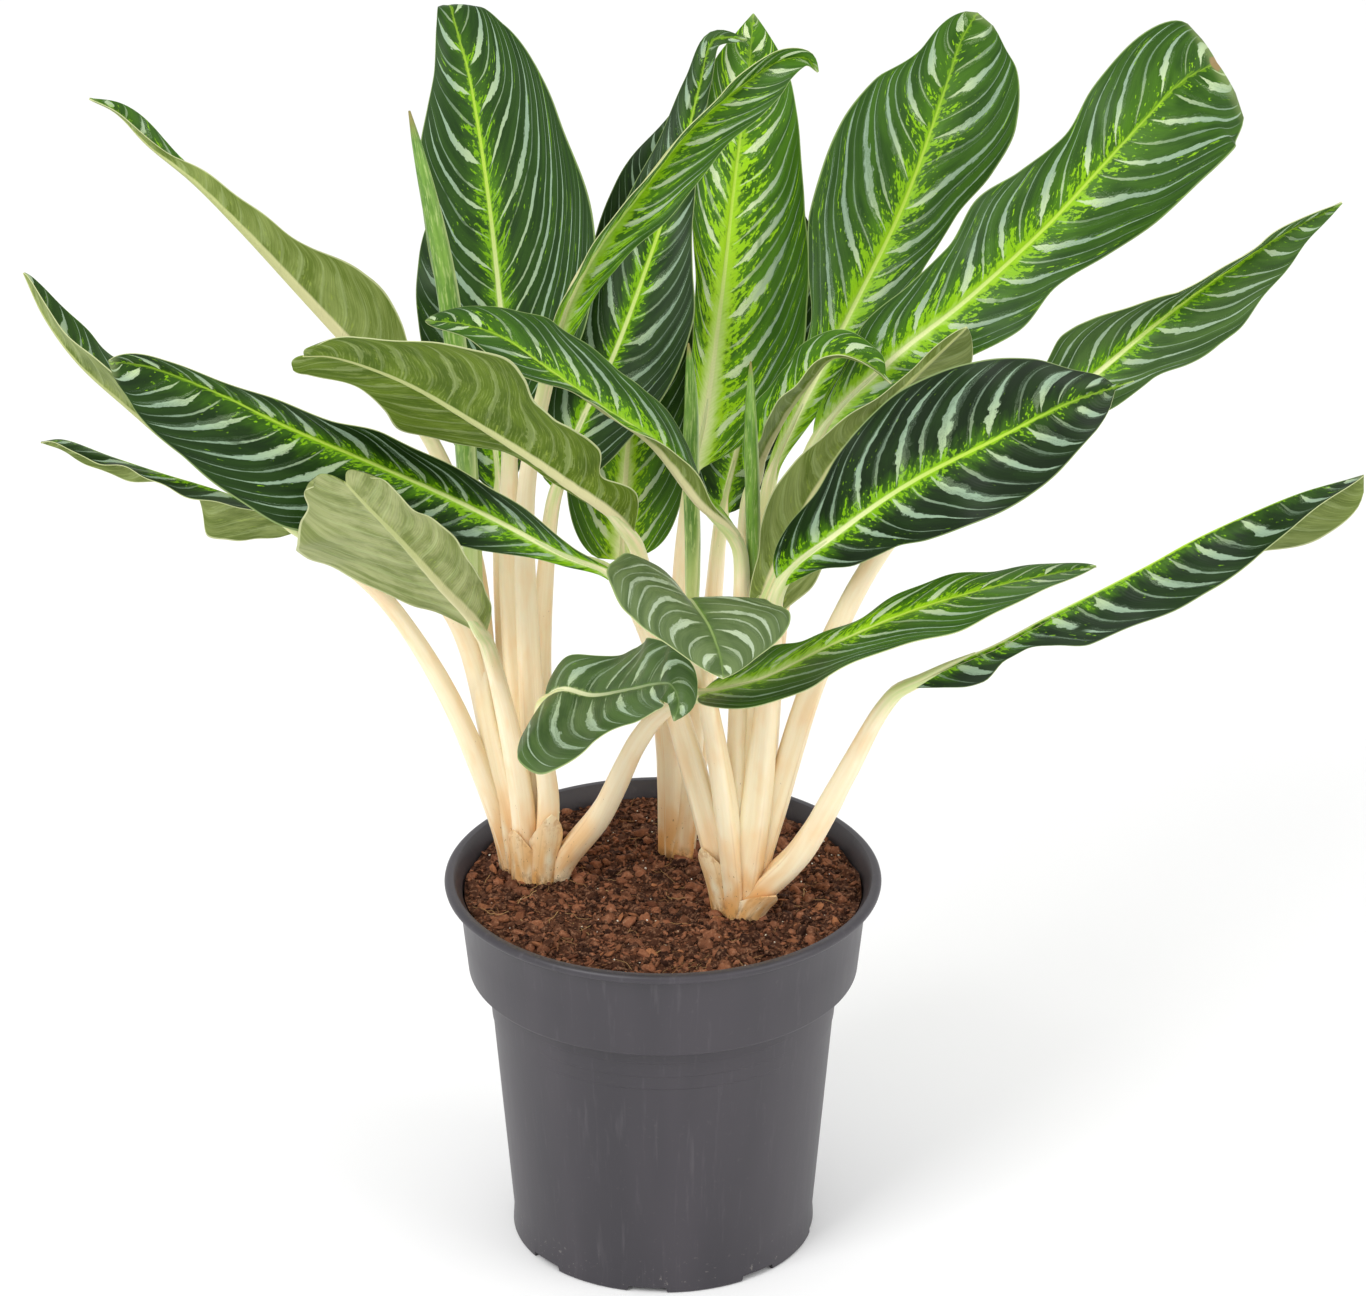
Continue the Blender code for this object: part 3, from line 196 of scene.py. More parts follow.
# Each leaf: its crown, where its stalk leaves the crown, the points that the stalk passes (the last one is
# the blade's base), the points of the midrib on to the tip, and the way its upper side faces.
# half is half the blade's width and widest is how far along it is widest. fold lifts both halves off the flat
# in degrees, curl bends them on further towards the margin, and ripple is the margin's wave in millimetres.
# face, fold and curl hold two or more values, set evenly from the base to the tip.
# skew makes the half on the right, seen from the base with the upper side up, that much wider than the other.
# A taper under the usual one makes both ends blunter, and a larger one makes them slimmer.
# edge has rows of a share of the length and what the left and the right half-width are multiplied by there.
# blunt is the half-width that the base and the tip keep, and lobes is how far the edge reaches past the
# midrib's end there, both in millimetres.
LEAVES = {
    "tall_left": dict(
        crown="left", root=(-3, 2), half=34, widest=0.38, skew=0.2,
        fold=(14, 4), curl=(-18, -24), ripple=1.5,
        edge=[(0, 1, 1), (0.2, 1, 1.05), (0.4, 1.05, 1.08), (0.6, 1.12, 1.03), (0.7, 1, 1.08),
              (0.8, 0.84, 1.12), (0.9, 0.76, 1.2), (1, 0.8, 1.25)],
        stalk=[(-62, 22, 236), (-66, 34, 302), (-66, 42, 376)],
        blade=[(-70, 62, 420), (-76, 85, 466), (-83, 103, 504), (-88, 112, 519), (-91, 122, 524),
               (-94, 136, 515)],
        face=((0.15, -0.9, 0.35), (0.14, -0.86, 0.43), (0.12, -0.81, 0.52), (0.1, -0.75, 0.6),
              (0.1, -0.05, 0.98))),
    "left_behind": dict(
        crown="left", root=(-3, 9), half=25, widest=0.5, fold=(16, 8), curl=(-10, -15), ripple=1,
        stalk=[(-67, 34, 250), (-70, 52, 294), (-71, 66, 325)],
        blade=[(-76, 80, 366), (-84, 96, 406), (-92, 114, 449)],
        face=((-0.25, -0.85, 0.4), (-0.3, -0.8, 0.4))),
    "slanting": dict(
        crown="left", root=(4, -2), half=20, widest=0.55,
        fold=(42, 45, 46, 42, 34), curl=(-10, -5), ripple=1.5,
        edge=[(0, 0.8, 0.8), (0.3, 0.75, 0.7), (0.6, 0.8, 0.85), (0.85, 0.7, 0.9), (1, 0.35, 0.4)],
        stalk=[(-57, 12, 255), (-58, 12, 350), (-47, 9, 410)],
        blade=[(-40, 8, 436), (-27, 7, 463), (-8, 7, 490), (12, 12, 515), (35, 17, 534), (50, 19, 543),
               (60, 21, 543), (65, 21, 537)],
        face=((0.25, -0.85, 0.3), (0.45, -0.83, 0), (0.5, -0.82, -0.1), (0.5, -0.8, -0.1),
              (0.4, -0.75, 0.3))),
    "curled_tip": dict(
        crown="left", root=(4, 6), half=27, widest=0.4, fold=(14, 10), curl=(-12, -14), ripple=1.5,
        edge=[(0, 1, 1.1), (0.3, 0.9, 1.15), (0.4, 0.85, 1.1), (0.5, 0.8, 0.8), (0.6, 0.7, 0.5),
              (0.7, 0.6, 0.35), (0.8, 0.55, 0.35), (0.9, 0.5, 0.45), (1, 0.6, 0.6)],
        stalk=[(-53, 26, 249), (-51, 40, 294), (-46, 51, 333)],
        blade=[(-35, 57, 362), (-22, 65, 387), (-5, 80, 430), (8, 94, 468), (16, 106, 498),
               (22, 112, 516), (36, 110, 517)],
        face=((-0.35, -0.85, 0.4), (-0.2, -0.8, 0.5))),
    "upper_left": dict(
        crown="left", root=(-7, 9), half=25, widest=0.28,
        fold=(60, 60, 58, 48, 35), curl=(6, 0), ripple=1.5,
        edge=[(0, 0.8, 0.8), (0.15, 1, 0.8), (0.28, 1, 0.7), (0.4, 0.75, 0.6), (0.6, 0.42, 0.4),
              (0.75, 0.3, 0.45), (0.85, 0.5, 0.8), (1, 1, 1)],
        stalk=[(-76, 30, 242), (-82, 44, 302), (-97, 50, 350), (-113, 52, 376)],
        blade=[(-127, 53, 392), (-153, 55, 422), (-179, 57, 452), (-199, 59, 473), (-218, 61, 489),
               (-231, 62, 503), (-242, 62, 509)],
        face=((0.61, 0.52, 0.5), (0.61, 0.52, 0.5), (0.61, 0.5, 0.5), (0.6, 0.3, 0.65), (0.44, -0.42, 0.74))),
    "far_left": dict(
        crown="left", root=(-9, 8), half=23, widest=0.45, fold=(34, 32), curl=(-6, -6), ripple=1.5,
        stalk=[(-74, 24, 226), (-90, 23, 286), (-116, 22, 314), (-142, 20, 329)],
        blade=[(-171, 17, 345), (-203, 16, 366), (-226, 18, 386), (-247, 22, 405), (-261, 28, 423),
               (-270, 34, 441)],
        face=((0.62, 0.13, 0.7), (0.62, 0.13, 0.7))),
    "left_low": dict(
        crown="left", root=(-11, 4), half=19, widest=0.36, fold=(-36, -36), curl=(-6, -8), ripple=2,
        edge=[(0, 0.7, 1.3), (0.15, 0.7, 1.25), (0.3, 0.7, 1.2), (0.42, 0.7, 0.4), (0.6, 0.7, 0.35),
              (0.75, 0.75, 0.6), (0.88, 0.9, 1.2), (1, 1, 1.2)],
        stalk=[(-80, 16, 217), (-97, 11, 262), (-118, 8, 299), (-138, 0, 324), (-154, -7, 341)],
        blade=[(-166, -10, 351), (-187, -12, 361), (-211, -8, 367), (-233, -2, 372), (-254, 2, 378),
               (-263, 4, 376)],
        face=((0.3, 0.67, 0.74), (0.3, 0.67, 0.74))),
    "under_low": dict(
        crown="left", root=(-3, -7), half=30, widest=0.72, skew=0.2,
        taper=0.9, fold=(12, 6), curl=(-6, -10), ripple=1.5, blunt=(0, 18), lobes=(0, 8),
        edge=[(0, 1.1, 1), (0.1, 1.1, 1), (0.2, 0.95, 1), (0.3, 0.98, 1.15), (0.4, 0.95, 1.35),
              (0.5, 0.92, 1.45), (0.6, 0.88, 1.4), (0.7, 0.78, 1.2), (0.8, 0.72, 1), (0.9, 0.75, 0.75),
              (1, 0.8, 0.7)],
        stalk=[(-61, 6, 204), (-68, -6, 256), (-77, -25, 301)],
        blade=[(-93, -50, 335), (-109, -75, 368), (-123, -94, 394), (-129, -101, 405)],
        face=((0.12, 0.9, 0.4), (0.08, 0.8, 0.6))),
    "low_forward": dict(
        crown="left", root=(3, -8), half=34, widest=0.36,
        fold=(20, 18, 10, 4, 0), curl=(-12, -18), ripple=1.5,
        edge=[(0, 0.4, 1), (0.15, 0.48, 1.25), (0.3, 0.52, 1.25), (0.45, 0.6, 0.95), (0.6, 0.75, 0.55),
              (0.75, 0.8, 0.5), (1, 0.9, 0.7)],
        stalk=[(-50, 4, 205), (-52, -6, 240), (-50, -24, 268)],
        blade=[(-42, -38, 280), (-30, -52, 284), (-14, -73, 297), (-2, -90, 308), (4, -102, 313),
               (7, -109, 309), (5, -113, 302)],
        face=((-0.77, -0.2, 0.61), (-0.7, -0.25, 0.65), (-0.45, -0.45, 0.75), (-0.2, -0.75, 0.55),
              (0, -0.95, 0.1))),
    "low_right": dict(
        crown="left", root=(10, -7), half=23, widest=0.42, fold=(12, 8), curl=(-6, -10), ripple=2,
        edge=[(0, 1, 1.3), (0.1, 0.9, 1.4), (0.2, 0.75, 1.35), (0.3, 0.5, 1.4), (0.4, 0.52, 1.45),
              (0.5, 0.6, 1.35), (0.6, 0.66, 1.4), (0.75, 0.7, 1.4), (0.9, 0.95, 1.3), (1, 1, 1)],
        stalk=[(-27, -1, 202), (-10, -19, 247), (1, -31, 267), (17, -48, 283)],
        blade=[(42, -62, 297), (71, -67, 315), (104, -68, 331), (141, -66, 342), (181, -62, 349)],
        face=((-0.3, -0.1, 0.95), (-0.25, -0.1, 0.95))),
    "behind_slant": dict(
        crown="back", root=(-2, 3), half=27, widest=0.27, fold=(16, 8), curl=(-12, -16), ripple=1.5,
        edge=[(0, 1, 1), (0.5, 1, 1), (0.6, 1.3, 1), (0.7, 1.6, 1), (0.8, 1.9, 1), (0.9, 2.2, 1),
              (1, 1.6, 1)],
        stalk=[(2, 46, 225), (-8, 62, 264), (-17, 74, 288)],
        blade=[(-16, 84, 328), (-12, 98, 366), (-4, 118, 418), (4, 137, 473)],
        face=((0, -0.9, 0.4), (0, -0.9, 0.4))),
    "under_left": dict(
        crown="back", root=(-3, -2), half=29, widest=0.66, taper=1.1,
        fold=(12, 6), curl=(-8, -16), ripple=1.5, blunt=(0, 11), lobes=(0, 2),
        edge=[(0, 1, 0.2), (0.1, 1.4, 0.2), (0.2, 0.7, 0.2), (0.3, 1.15, 0.2), (0.4, 1.1, 0.35),
              (0.45, 1, 0.6), (0.5, 1, 0.85), (0.6, 1.3, 1.05), (0.7, 1.5, 0.8), (0.8, 1.35, 0.65),
              (0.9, 1.05, 0.9), (1, 1, 1)],
        stalk=[(2, 24, 224), (-5, -4, 294), (-14, -35, 352)],
        blade=[(-41, -60, 388), (-77, -84, 425), (-106, -101, 451), (-133, -114, 467),
               (-144, -120, 470)],
        face=((0.3, 0.95, 0.05), (0.25, 0.8, 0.5))),
    "centre_tall": dict(
        crown="back", root=(1, -1), half=27, widest=0.5, skew=0.34, taper=1.7,
        fold=(16, 8), curl=(-12, -14), ripple=1.5,
        edge=[(0, 0.9, 1.4), (0.1, 0.8, 1.4), (0.2, 0.82, 1.36), (0.3, 0.7, 1.22), (0.4, 0.7, 1.05),
              (0.5, 0.88, 0.97), (0.6, 1.15, 0.9), (0.7, 1.3, 0.9), (0.8, 1.5, 0.93), (0.9, 1.9, 1),
              (1, 1.5, 0.9)],
        stalk=[(8, 38, 237), (8, 48, 291), (13, 56, 339)],
        blade=[(18, 62, 360), (25, 77, 408), (31, 98, 457), (37, 120, 499), (39, 133, 520)],
        face=((0.2, -0.9, 0.4), (0.2, -0.9, 0.4))),
    "behind_centre": dict(
        crown="back", root=(3, 2), half=24, widest=0.45, fold=(16, 8), curl=(-10, -10), ripple=1,
        stalk=[(17, 46, 225), (22, 68, 272), (26, 84, 306)],
        blade=[(34, 96, 339), (42, 110, 375), (50, 124, 408), (56, 140, 438)],
        face=((0, -0.9, 0.4), (0, -0.9, 0.4))),
    "front_to_left": dict(
        crown="right", root=(-2, -1), half=19, widest=0.68, skew=0.15,
        taper=1.9, fold=(40, 38, 28, 14, 8), curl=(-8, -14), ripple=1.5,
        edge=[(0, 1.5, 1.6), (0.1, 1.5, 1.7), (0.2, 1.3, 2), (0.3, 0.9, 1.8), (0.4, 0.6, 1.2),
              (0.5, 0.5, 1.1), (0.6, 0.6, 1.15), (0.7, 1, 1.1), (0.8, 1.05, 0.8), (0.9, 0.6, 0.65),
              (1, 0.7, 0.7)],
        stalk=[(32, -22, 229), (33, -21, 295), (31, -19, 343)],
        blade=[(16, -23, 361), (-4, -27, 390), (-25, -34, 409), (-46, -40, 428), (-66, -42, 444),
               (-82, -40, 449), (-98, -36, 449)],
        face=((0.56, 0.25, 0.71), (0.56, 0.15, 0.75), (0.35, -0.2, 0.9), (0.1, -0.35, 0.92),
              (0.05, -0.35, 0.93))),
    "broad_left": dict(
        crown="right", root=(-5, 2), half=36, widest=0.6, skew=-0.3,
        taper=1.7, fold=(26, 22), curl=(-6, -8), ripple=2,
        edge=[(0, 0.3, 1), (0.1, 0.3, 1), (0.2, 0.42, 0.97), (0.3, 0.52, 0.88), (0.4, 0.62, 0.88),
              (0.5, 0.72, 0.85), (0.6, 0.82, 0.55), (0.7, 0.78, 0.45), (0.8, 0.8, 0.38),
              (0.9, 0.85, 0.5), (1, 1, 1)],
        stalk=[(20, -19, 205), (3, -14, 267), (-11, -25, 311), (-21, -33, 331)],
        blade=[(-42, -36, 342), (-68, -38, 358), (-94, -40, 373), (-119, -42, 386), (-157, -44, 405),
               (-186, -45, 421), (-214, -46, 433), (-229, -46, 435)],
        face=((0.1, -0.95, -0.1), (0.1, -0.95, -0.15))),
    "facing": dict(
        crown="right", root=(-1, -4), half=38, widest=0.42, skew=0.12,
        fold=(24, 12), curl=(-8, -20), ripple=1,
        blunt=(8, 0), lobes=(7, 0),
        edge=[(0, 0.9, 0.7), (0.1, 0.9, 0.72), (0.2, 0.92, 0.85), (0.3, 0.95, 0.9), (0.5, 1.05, 1),
              (0.6, 1.15, 1), (0.7, 1.22, 1), (0.8, 1.2, 1), (0.9, 1.05, 1), (1, 1, 1)],
        stalk=[(26, -30, 227), (18, -37, 280), (11, -47, 322)],
        blade=[(11, -66, 336), (15, -90, 342), (20, -113, 344), (24, -134, 341), (25, -144, 337)],
        face=((0.33, -0.3, 0.9), (0.2, -0.45, 0.9))),
    "right_tall": dict(
        crown="right", root=(2, 5), half=34, widest=0.7, skew=-0.08,
        taper=1.6, fold=(14, 6), curl=(-14, -18), ripple=2,
        edge=[(0, 0.5, 0.8), (0.1, 0.45, 0.8), (0.2, 0.5, 0.8), (0.3, 0.6, 0.8), (0.4, 0.93, 0.82),
              (0.5, 1.1, 0.72), (0.6, 1.08, 0.75), (0.7, 1.02, 0.98), (0.8, 0.87, 1.14),
              (0.9, 0.5, 1.12), (1, 0.45, 1)],
        stalk=[(37, -10, 224), (41, 12, 289), (46, 27, 348)],
        blade=[(56, 33, 372), (81, 51, 417), (103, 72, 457), (120, 95, 498), (128, 110, 517),
               (135, 121, 525)],
        face=((0, -0.9, 0.4), (-0.1, -0.85, 0.5))),
    "arched": dict(
        crown="right", root=(0, 3), half=15, widest=0.42, fold=(36, 26), curl=(10, 0), ripple=1,
        stalk=[(35, -14, 234), (34, -4, 307), (38, 4, 358)],
        blade=[(48, 3, 384), (60, -2, 405), (72, -8, 421), (85, -15, 421), (96, -23, 415)],
        face=((-0.85, -0.1, 0.4), (0.4, -0.2, 0.9))),
    "wide_right": dict(
        crown="right", root=(3, 2), half=30, widest=0.7, taper=0.8, fold=(14, 8), curl=(-12, -20), ripple=3,
        blunt=(0, 11),
        edge=[(0, 0.8, 0.8), (0.1, 0.75, 0.8), (0.2, 1, 0.82), (0.3, 0.88, 0.85), (0.4, 0.87, 0.98),
              (0.5, 1.03, 0.78), (0.6, 0.83, 0.92), (0.7, 0.68, 1.1), (0.8, 0.88, 1.2), (0.9, 1, 1.35),
              (1, 1.1, 1.4)],
        stalk=[(42, -15, 226), (50, -8, 308), (66, 0, 380)],
        blade=[(96, 9, 411), (128, 18, 435), (163, 30, 465), (184, 39, 486), (205, 48, 507),
               (219, 56, 519), (234, 65, 524)],
        face=((-0.1, -0.85, 0.5), (-0.1, -0.85, 0.5))),
    "far_right_up": dict(
        crown="right", root=(5, 1), half=23, widest=0.3,
        fold=(10, 24, 42, 44, 36), curl=(-6, -8), ripple=1.5,
        edge=[(0, 0.8, 0.7), (0.1, 0.85, 0.7), (0.2, 1.05, 0.75), (0.3, 1, 0.75), (0.4, 0.9, 0.95),
              (0.5, 0.9, 1.1), (0.6, 0.9, 1.25), (0.7, 0.9, 1.25), (0.8, 0.9, 1.15), (0.9, 0.9, 0.9),
              (1, 1, 1)],
        stalk=[(49, -22, 219), (70, -26, 293), (101, -27, 352), (157, -20, 397)],
        blade=[(182, -15, 416), (206, -10, 436), (231, -4, 454), (257, 3, 470), (284, 9, 483)],
        face=((-0.1, -0.8, 0.5), (0.1, -0.88, 0.35), (0.38, -0.88, -0.05), (0.42, -0.87, -0.15),
              (0.4, -0.85, 0))),
    "broad_right": dict(
        crown="right", root=(2, -3), half=33, widest=0.52, skew=-0.12,
        fold=(14, 8), curl=(-10, -16), ripple=2,
        edge=[(0, 0.9, 0.6), (0.1, 0.75, 0.52), (0.2, 0.66, 0.75), (0.3, 0.8, 0.76), (0.4, 0.92, 0.9),
              (0.5, 0.97, 0.96), (0.6, 0.96, 1), (0.7, 0.93, 1), (0.8, 0.8, 0.97), (0.9, 0.5, 0.95),
              (1, 0.6, 0.8)],
        stalk=[(41, -27, 226), (46, -38, 294), (50, -46, 334)],
        blade=[(74, -56, 362), (103, -66, 389), (139, -78, 415), (167, -88, 435), (192, -96, 448)],
        face=((-0.4, -0.85, 0.3), (-0.4, -0.8, 0.4))),
    "under_right": dict(
        crown="right", root=(4, -1), half=23, widest=0.4, fold=(10, 6), curl=(-6, -10), ripple=1,
        blunt=(9, 0), lobes=(9, 0),
        edge=[(0, 1.2, 0.6), (0.05, 1.7, 0.6), (0.1, 1.5, 0.58), (0.2, 1.1, 0.8), (0.3, 1, 0.85),
              (0.4, 1, 0.7), (0.5, 1, 0.55), (0.6, 1, 0.5), (0.7, 1, 0.35), (0.8, 1.1, 0.25),
              (0.9, 2, 0.4), (1, 2, 0.8)],
        stalk=[(39, -24, 225), (41, -25, 287), (44, -25, 318)],
        blade=[(58, -26, 354), (78, -28, 390), (103, -32, 420), (126, -40, 448)],
        face=((-0.3, 0.85, 0.3), (-0.2, 0.8, 0.5))),
    "far_right": dict(
        crown="right", root=(4, -4), half=22, widest=0.56,
        fold=(-58, -62, -62, -60, -50), curl=(6, 6), ripple=1,
        edge=[(0, 0.6, 1.1), (0.11, 0.7, 1.2), (0.155, 0.6, 1.05), (0.21, 0.5, 0.5), (0.25, 0.5, 0.45),
              (0.31, 0.5, 0.7), (0.38, 0.6, 0.98), (0.5, 0.7, 1), (0.65, 0.9, 1.03), (0.75, 1.2, 1),
              (0.85, 1.5, 1.05), (0.93, 1.7, 1), (1, 2, 1)],
        stalk=[(59, -31, 199), (78, -43, 243), (93, -56, 280), (102, -62, 294)],
        blade=[(115, -66, 304), (139, -72, 318), (159, -76, 332), (183, -81, 348), (202, -85, 361),
               (218, -89, 373), (242, -94, 388), (262, -98, 399), (281, -100, 406), (287, -100, 408)],
        face=((-0.33, -0.04, 0.88), (-0.33, -0.04, 0.88), (-0.33, -0.04, 0.88), (-0.35, 0.2, 0.8),
              (-0.34, 0.75, 0.5))),
}

# How each leaf looks. young is how yellow-green it is, in one value or in several from the base to the tip.
# tone is how light its dark parts are, and over 1 they turn greyish with a painted sheen, for leaves that
# face the light. freckled is how many flecks it has away from the midrib, and below 0 the lime about the
# midrib goes too.
# faded is how pale its underside is, girth how thick its stalk is, and steep how much its side veins lean
# forward, on the left and the right. A pointed one has a fine tip. scorch is how far its browned tip reaches,
# as a share of its length. tip has the last points of the midrib, where they differ from those above.
LOOKS = {
    "tall_left": dict(young=0.08, tone=0.7, freckled=0.8, girth=1.15, steep=(1.5, 2.6),
                      tip=[(-88, 112, 520), (-91, 120, 528), (-94, 132, 523)]),
    "left_behind": dict(young=0.03, tone=0.7, pointed=True),
    "slanting": dict(young=0.55, tone=0.9, freckled=0.8, steep=(2.2, 2.2)),
    "curled_tip": dict(young=0.05, tone=0.45, steep=(1.6, 1.6)),
    "upper_left": dict(young=0.35, tone=0.8, faded=0.35),
    "far_left": dict(young=0.25, tone=0.6, faded=0.4),
    "left_low": dict(young=0.05, tone=0.3, faded=0.4, girth=0.85),
    "under_low": dict(young=0.10, faded=0.9),
    "low_forward": dict(young=0.02, tone=1.25, freckled=-0.5),
    "low_right": dict(young=0.55, tone=1.0, girth=1.05, freckled=0.2, steep=(1.6, 1.6)),
    "behind_slant": dict(young=(0.95, 0.45, 0.05, 0.03), tone=0.4, steep=(1.5, 1.5)),
    "under_left": dict(young=0.15, faded=0.0),
    "centre_tall": dict(young=0.95, tone=0.9, freckled=1.0, steep=(1.5, 1.5)),
    "behind_centre": dict(young=0.10, pointed=True),
    "front_to_left": dict(young=0.38, tone=0.6, steep=(1.4, 1.4)),
    "broad_left": dict(young=0.15, tone=0.15, girth=1.1, steep=(1.3, 1.7)),
    "facing": dict(young=0.02, tone=1.65, freckled=-0.4),
    "right_tall": dict(young=0.42, tone=0.8, freckled=1.0, girth=1.1, steep=(1.6, 1.5)),
    "arched": dict(young=0.60, tone=0.8, faded=0.2, pointed=True),
    "wide_right": dict(young=0.42, tone=0.7, freckled=0.8, girth=1.15, steep=(1.5, 1.2), scorch=0.013),
    "far_right_up": dict(young=0.12, tone=1.15, freckled=0.3, steep=(1.7, 1.7)),
    "broad_right": dict(young=0.10, tone=0.0, girth=1.2, pointed=True),
    "under_right": dict(young=0.2, faded=0.4),
    "far_right": dict(young=0.0, tone=0.25, girth=1.1),
}
YOUNG = ("slanting", "centre_tall", "low_right", "front_to_left", "arched")

# Each rolled new leaf: the points that its stalk passes, the points of the roll above it, and its radius
SPEARS = {
    "left": dict(
        crown="left", root=(-7, 2), radius=5,
        stalk=[(-78, 22, 248), (-81, 29, 298)],
        blade=[(-83, 30, 345), (-86, 30, 392), (-93, 32, 446), (-106, 35, 514)]),
    "middle": dict(
        crown="back", root=(2, -3), radius=3.7,
        stalk=[(14, 32, 239), (13, 30, 287)],
        blade=[(13, 29, 322), (12, 28, 354), (12, 28, 386), (11, 28, 411)]),
    "right": dict(
        crown="right", root=(0, 1), radius=3.3,
        stalk=[(39, -18, 250), (40, -16, 296)],
        blade=[(39, -15, 328), (38, -14, 361), (37, -14, 393), (37, -14, 421)]),
}
SPEAR_SHARES = (0.0, 0.12, 0.35, 0.6, 0.8, 0.93, 1.0)
SPEAR_THICKNESS = (0.78, 0.95, 1.0, 0.95, 0.75, 0.42, 0.10)
SPEAR_RINGS = 60
SPEAR_SIDES = 30
SPEAR_FLATNESS = 0.86
SPEAR_INNER = 0.86
SPEAR_OUTER = 1.06

# Loose sheaths of each crown: the leaf whose stalk it wraps, its height in millimetres, half the angle that
# it wraps and the way it faces, in radians
SHEATHS = {
    "left": (("low_forward", 44, 1.9, -1.3), ("under_low", 34, 1.7, -2.2)),
    "back": (),
    "right": (("broad_left", 40, 1.7, -2.2), ("far_right", 26, 1.5, -1.2)),
}


def srgb(code):
    """A colour written as six hexadecimal digits, in the linear numbers that shaders take."""
    linear = []
    for k in (0, 2, 4):
        value = int(code[k:k + 2], 16) / 255
        linear.append(value / 12.92 if value <= 0.04045 else ((value + 0.055) / 1.055) ** 2.4)
    return (*linear, 1.0)


# Material nodes, worked with as if they were numbers
class Field:
    """A value that a material works out at each point; sums of fields make the nodes that add them."""

    def __init__(self, tree, socket):
        self.tree = tree
        self.socket = socket

    def math(self, operation, *others):
        node = self.tree.nodes.new("ShaderNodeMath")
        node.operation = operation
        for place, value in enumerate((self, *others)):
            feed(value, node.inputs[place])
        return Field(self.tree, node.outputs[0])

    def __add__(self, other):
        return self.math("ADD", other)

    def __mul__(self, other):
        return self.math("MULTIPLY", other)

    def __sub__(self, other):
        return self.math("SUBTRACT", other)

    def __rsub__(self, other):
        return (self * -1.0) + other

    def __truediv__(self, other):
        return self.math("DIVIDE", other)

    def __abs__(self):
        return self.math("ABSOLUTE")

    def __pow__(self, power):
        return self.math("POWER", power)

    def floor(self):
        return self.math("FLOOR")

    def sine(self):
        return self.math("SINE")

    def between(self, low, high):
        """0 below low, 1 above high and a soft step from one to the other."""
        node = self.tree.nodes.new("ShaderNodeMapRange")
        node.interpolation_type = "SMOOTHSTEP"
        feed(self, node.inputs["Value"])
        feed(low, node.inputs["From Min"])
        feed(high, node.inputs["From Max"])
        return Field(self.tree, node.outputs["Result"])


def feed(value, socket):
    """Join a field to a node's input, or set the input to a plain value or to a colour's code."""
    if isinstance(value, Field):
        value.tree.links.new(value.socket, socket)
    else:
        socket.default_value = srgb(value) if isinstance(value, str) else value


def parts_of(vector):
    node = vector.tree.nodes.new("ShaderNodeSeparateXYZ")
    feed(vector, node.inputs[0])
    return [Field(vector.tree, output) for output in node.outputs]


def vector_of(tree, x, y, z):
    node = tree.nodes.new("ShaderNodeCombineXYZ")
    for value, socket in zip((x, y, z), node.inputs):
        feed(value, socket)
    return Field(tree, node.outputs[0])


def stored(tree, name):
    """The three numbers that a mesh keeps at each point under this name."""
    node = tree.nodes.new("ShaderNodeAttribute")
    node.attribute_name = name
    return parts_of(Field(tree, node.outputs["Vector"]))


def own_place(tree):
    """The place in the piece's own metres."""
    return Field(tree, tree.nodes.new("ShaderNodeTexCoord").outputs["Object"])


def clouds(tree, place, size, detail, rough):
    """Smooth noise from 0 to 1 at a place."""
    node = tree.nodes.new("ShaderNodeTexNoise")
    feed(place, node.inputs["Vector"])
    node.inputs["Scale"].default_value = size
    node.inputs["Detail"].default_value = detail
    node.inputs["Roughness"].default_value = rough
    return Field(tree, node.outputs[0])


def mist(tree, x, y, z, detail=3.0, rough=0.6):
    """Smooth noise whose grain is set by what its three places are multiplied by."""
    return clouds(tree, vector_of(tree, x, y, z), 1.0, detail, rough)


def lots(tree, x, y):
    """Three random numbers that stay the same over each pair of whole values."""
    node = tree.nodes.new("ShaderNodeTexWhiteNoise")
    node.noise_dimensions = "2D"
    feed(vector_of(tree, x, y, 0.0), node.inputs["Vector"])
    split = tree.nodes.new("ShaderNodeSeparateColor")
    tree.links.new(node.outputs["Color"], split.inputs[0])
    return [Field(tree, output) for output in split.outputs]


def mixed(share, first, second):
    """The first colour where share is 0 and the second where it is 1."""
    node = share.tree.nodes.new("ShaderNodeMix")
    node.data_type = "RGBA"
    feed(share, node.inputs[0])
    feed(first, node.inputs[6])
    feed(second, node.inputs[7])
    return Field(share.tree, node.outputs[2])


def coated(colour, *coats):
    """A colour with coats over it, each the share that it covers and its own colour."""
    for share, coat in coats:
        colour = mixed(share, colour, coat)
    return colour


def relief(tree, height, strength, distance):
    """A normal from a height, for what is finer than the mesh."""
    node = tree.nodes.new("ShaderNodeBump")
    node.inputs["Strength"].default_value = strength
    node.inputs["Distance"].default_value = distance
    feed(height, node.inputs["Height"])
    return Field(tree, node.outputs[0])


def new_look(name):
    made = bpy.data.materials.new(name)
    made.use_nodes = True
    return made, made.node_tree


def finished(look, colour, rough, normal=None, **plain):
    """The look with its colour, roughness and normal, and plain values for other sockets named with _."""
    shader = look.node_tree.nodes["Principled BSDF"]
    feed(colour, shader.inputs["Base Color"])
    feed(rough, shader.inputs["Roughness"])
    if normal:
        feed(normal, shader.inputs["Normal"])
    for socket, value in plain.items():
        shader.inputs[socket.replace("_", " ")].default_value = value
    return look


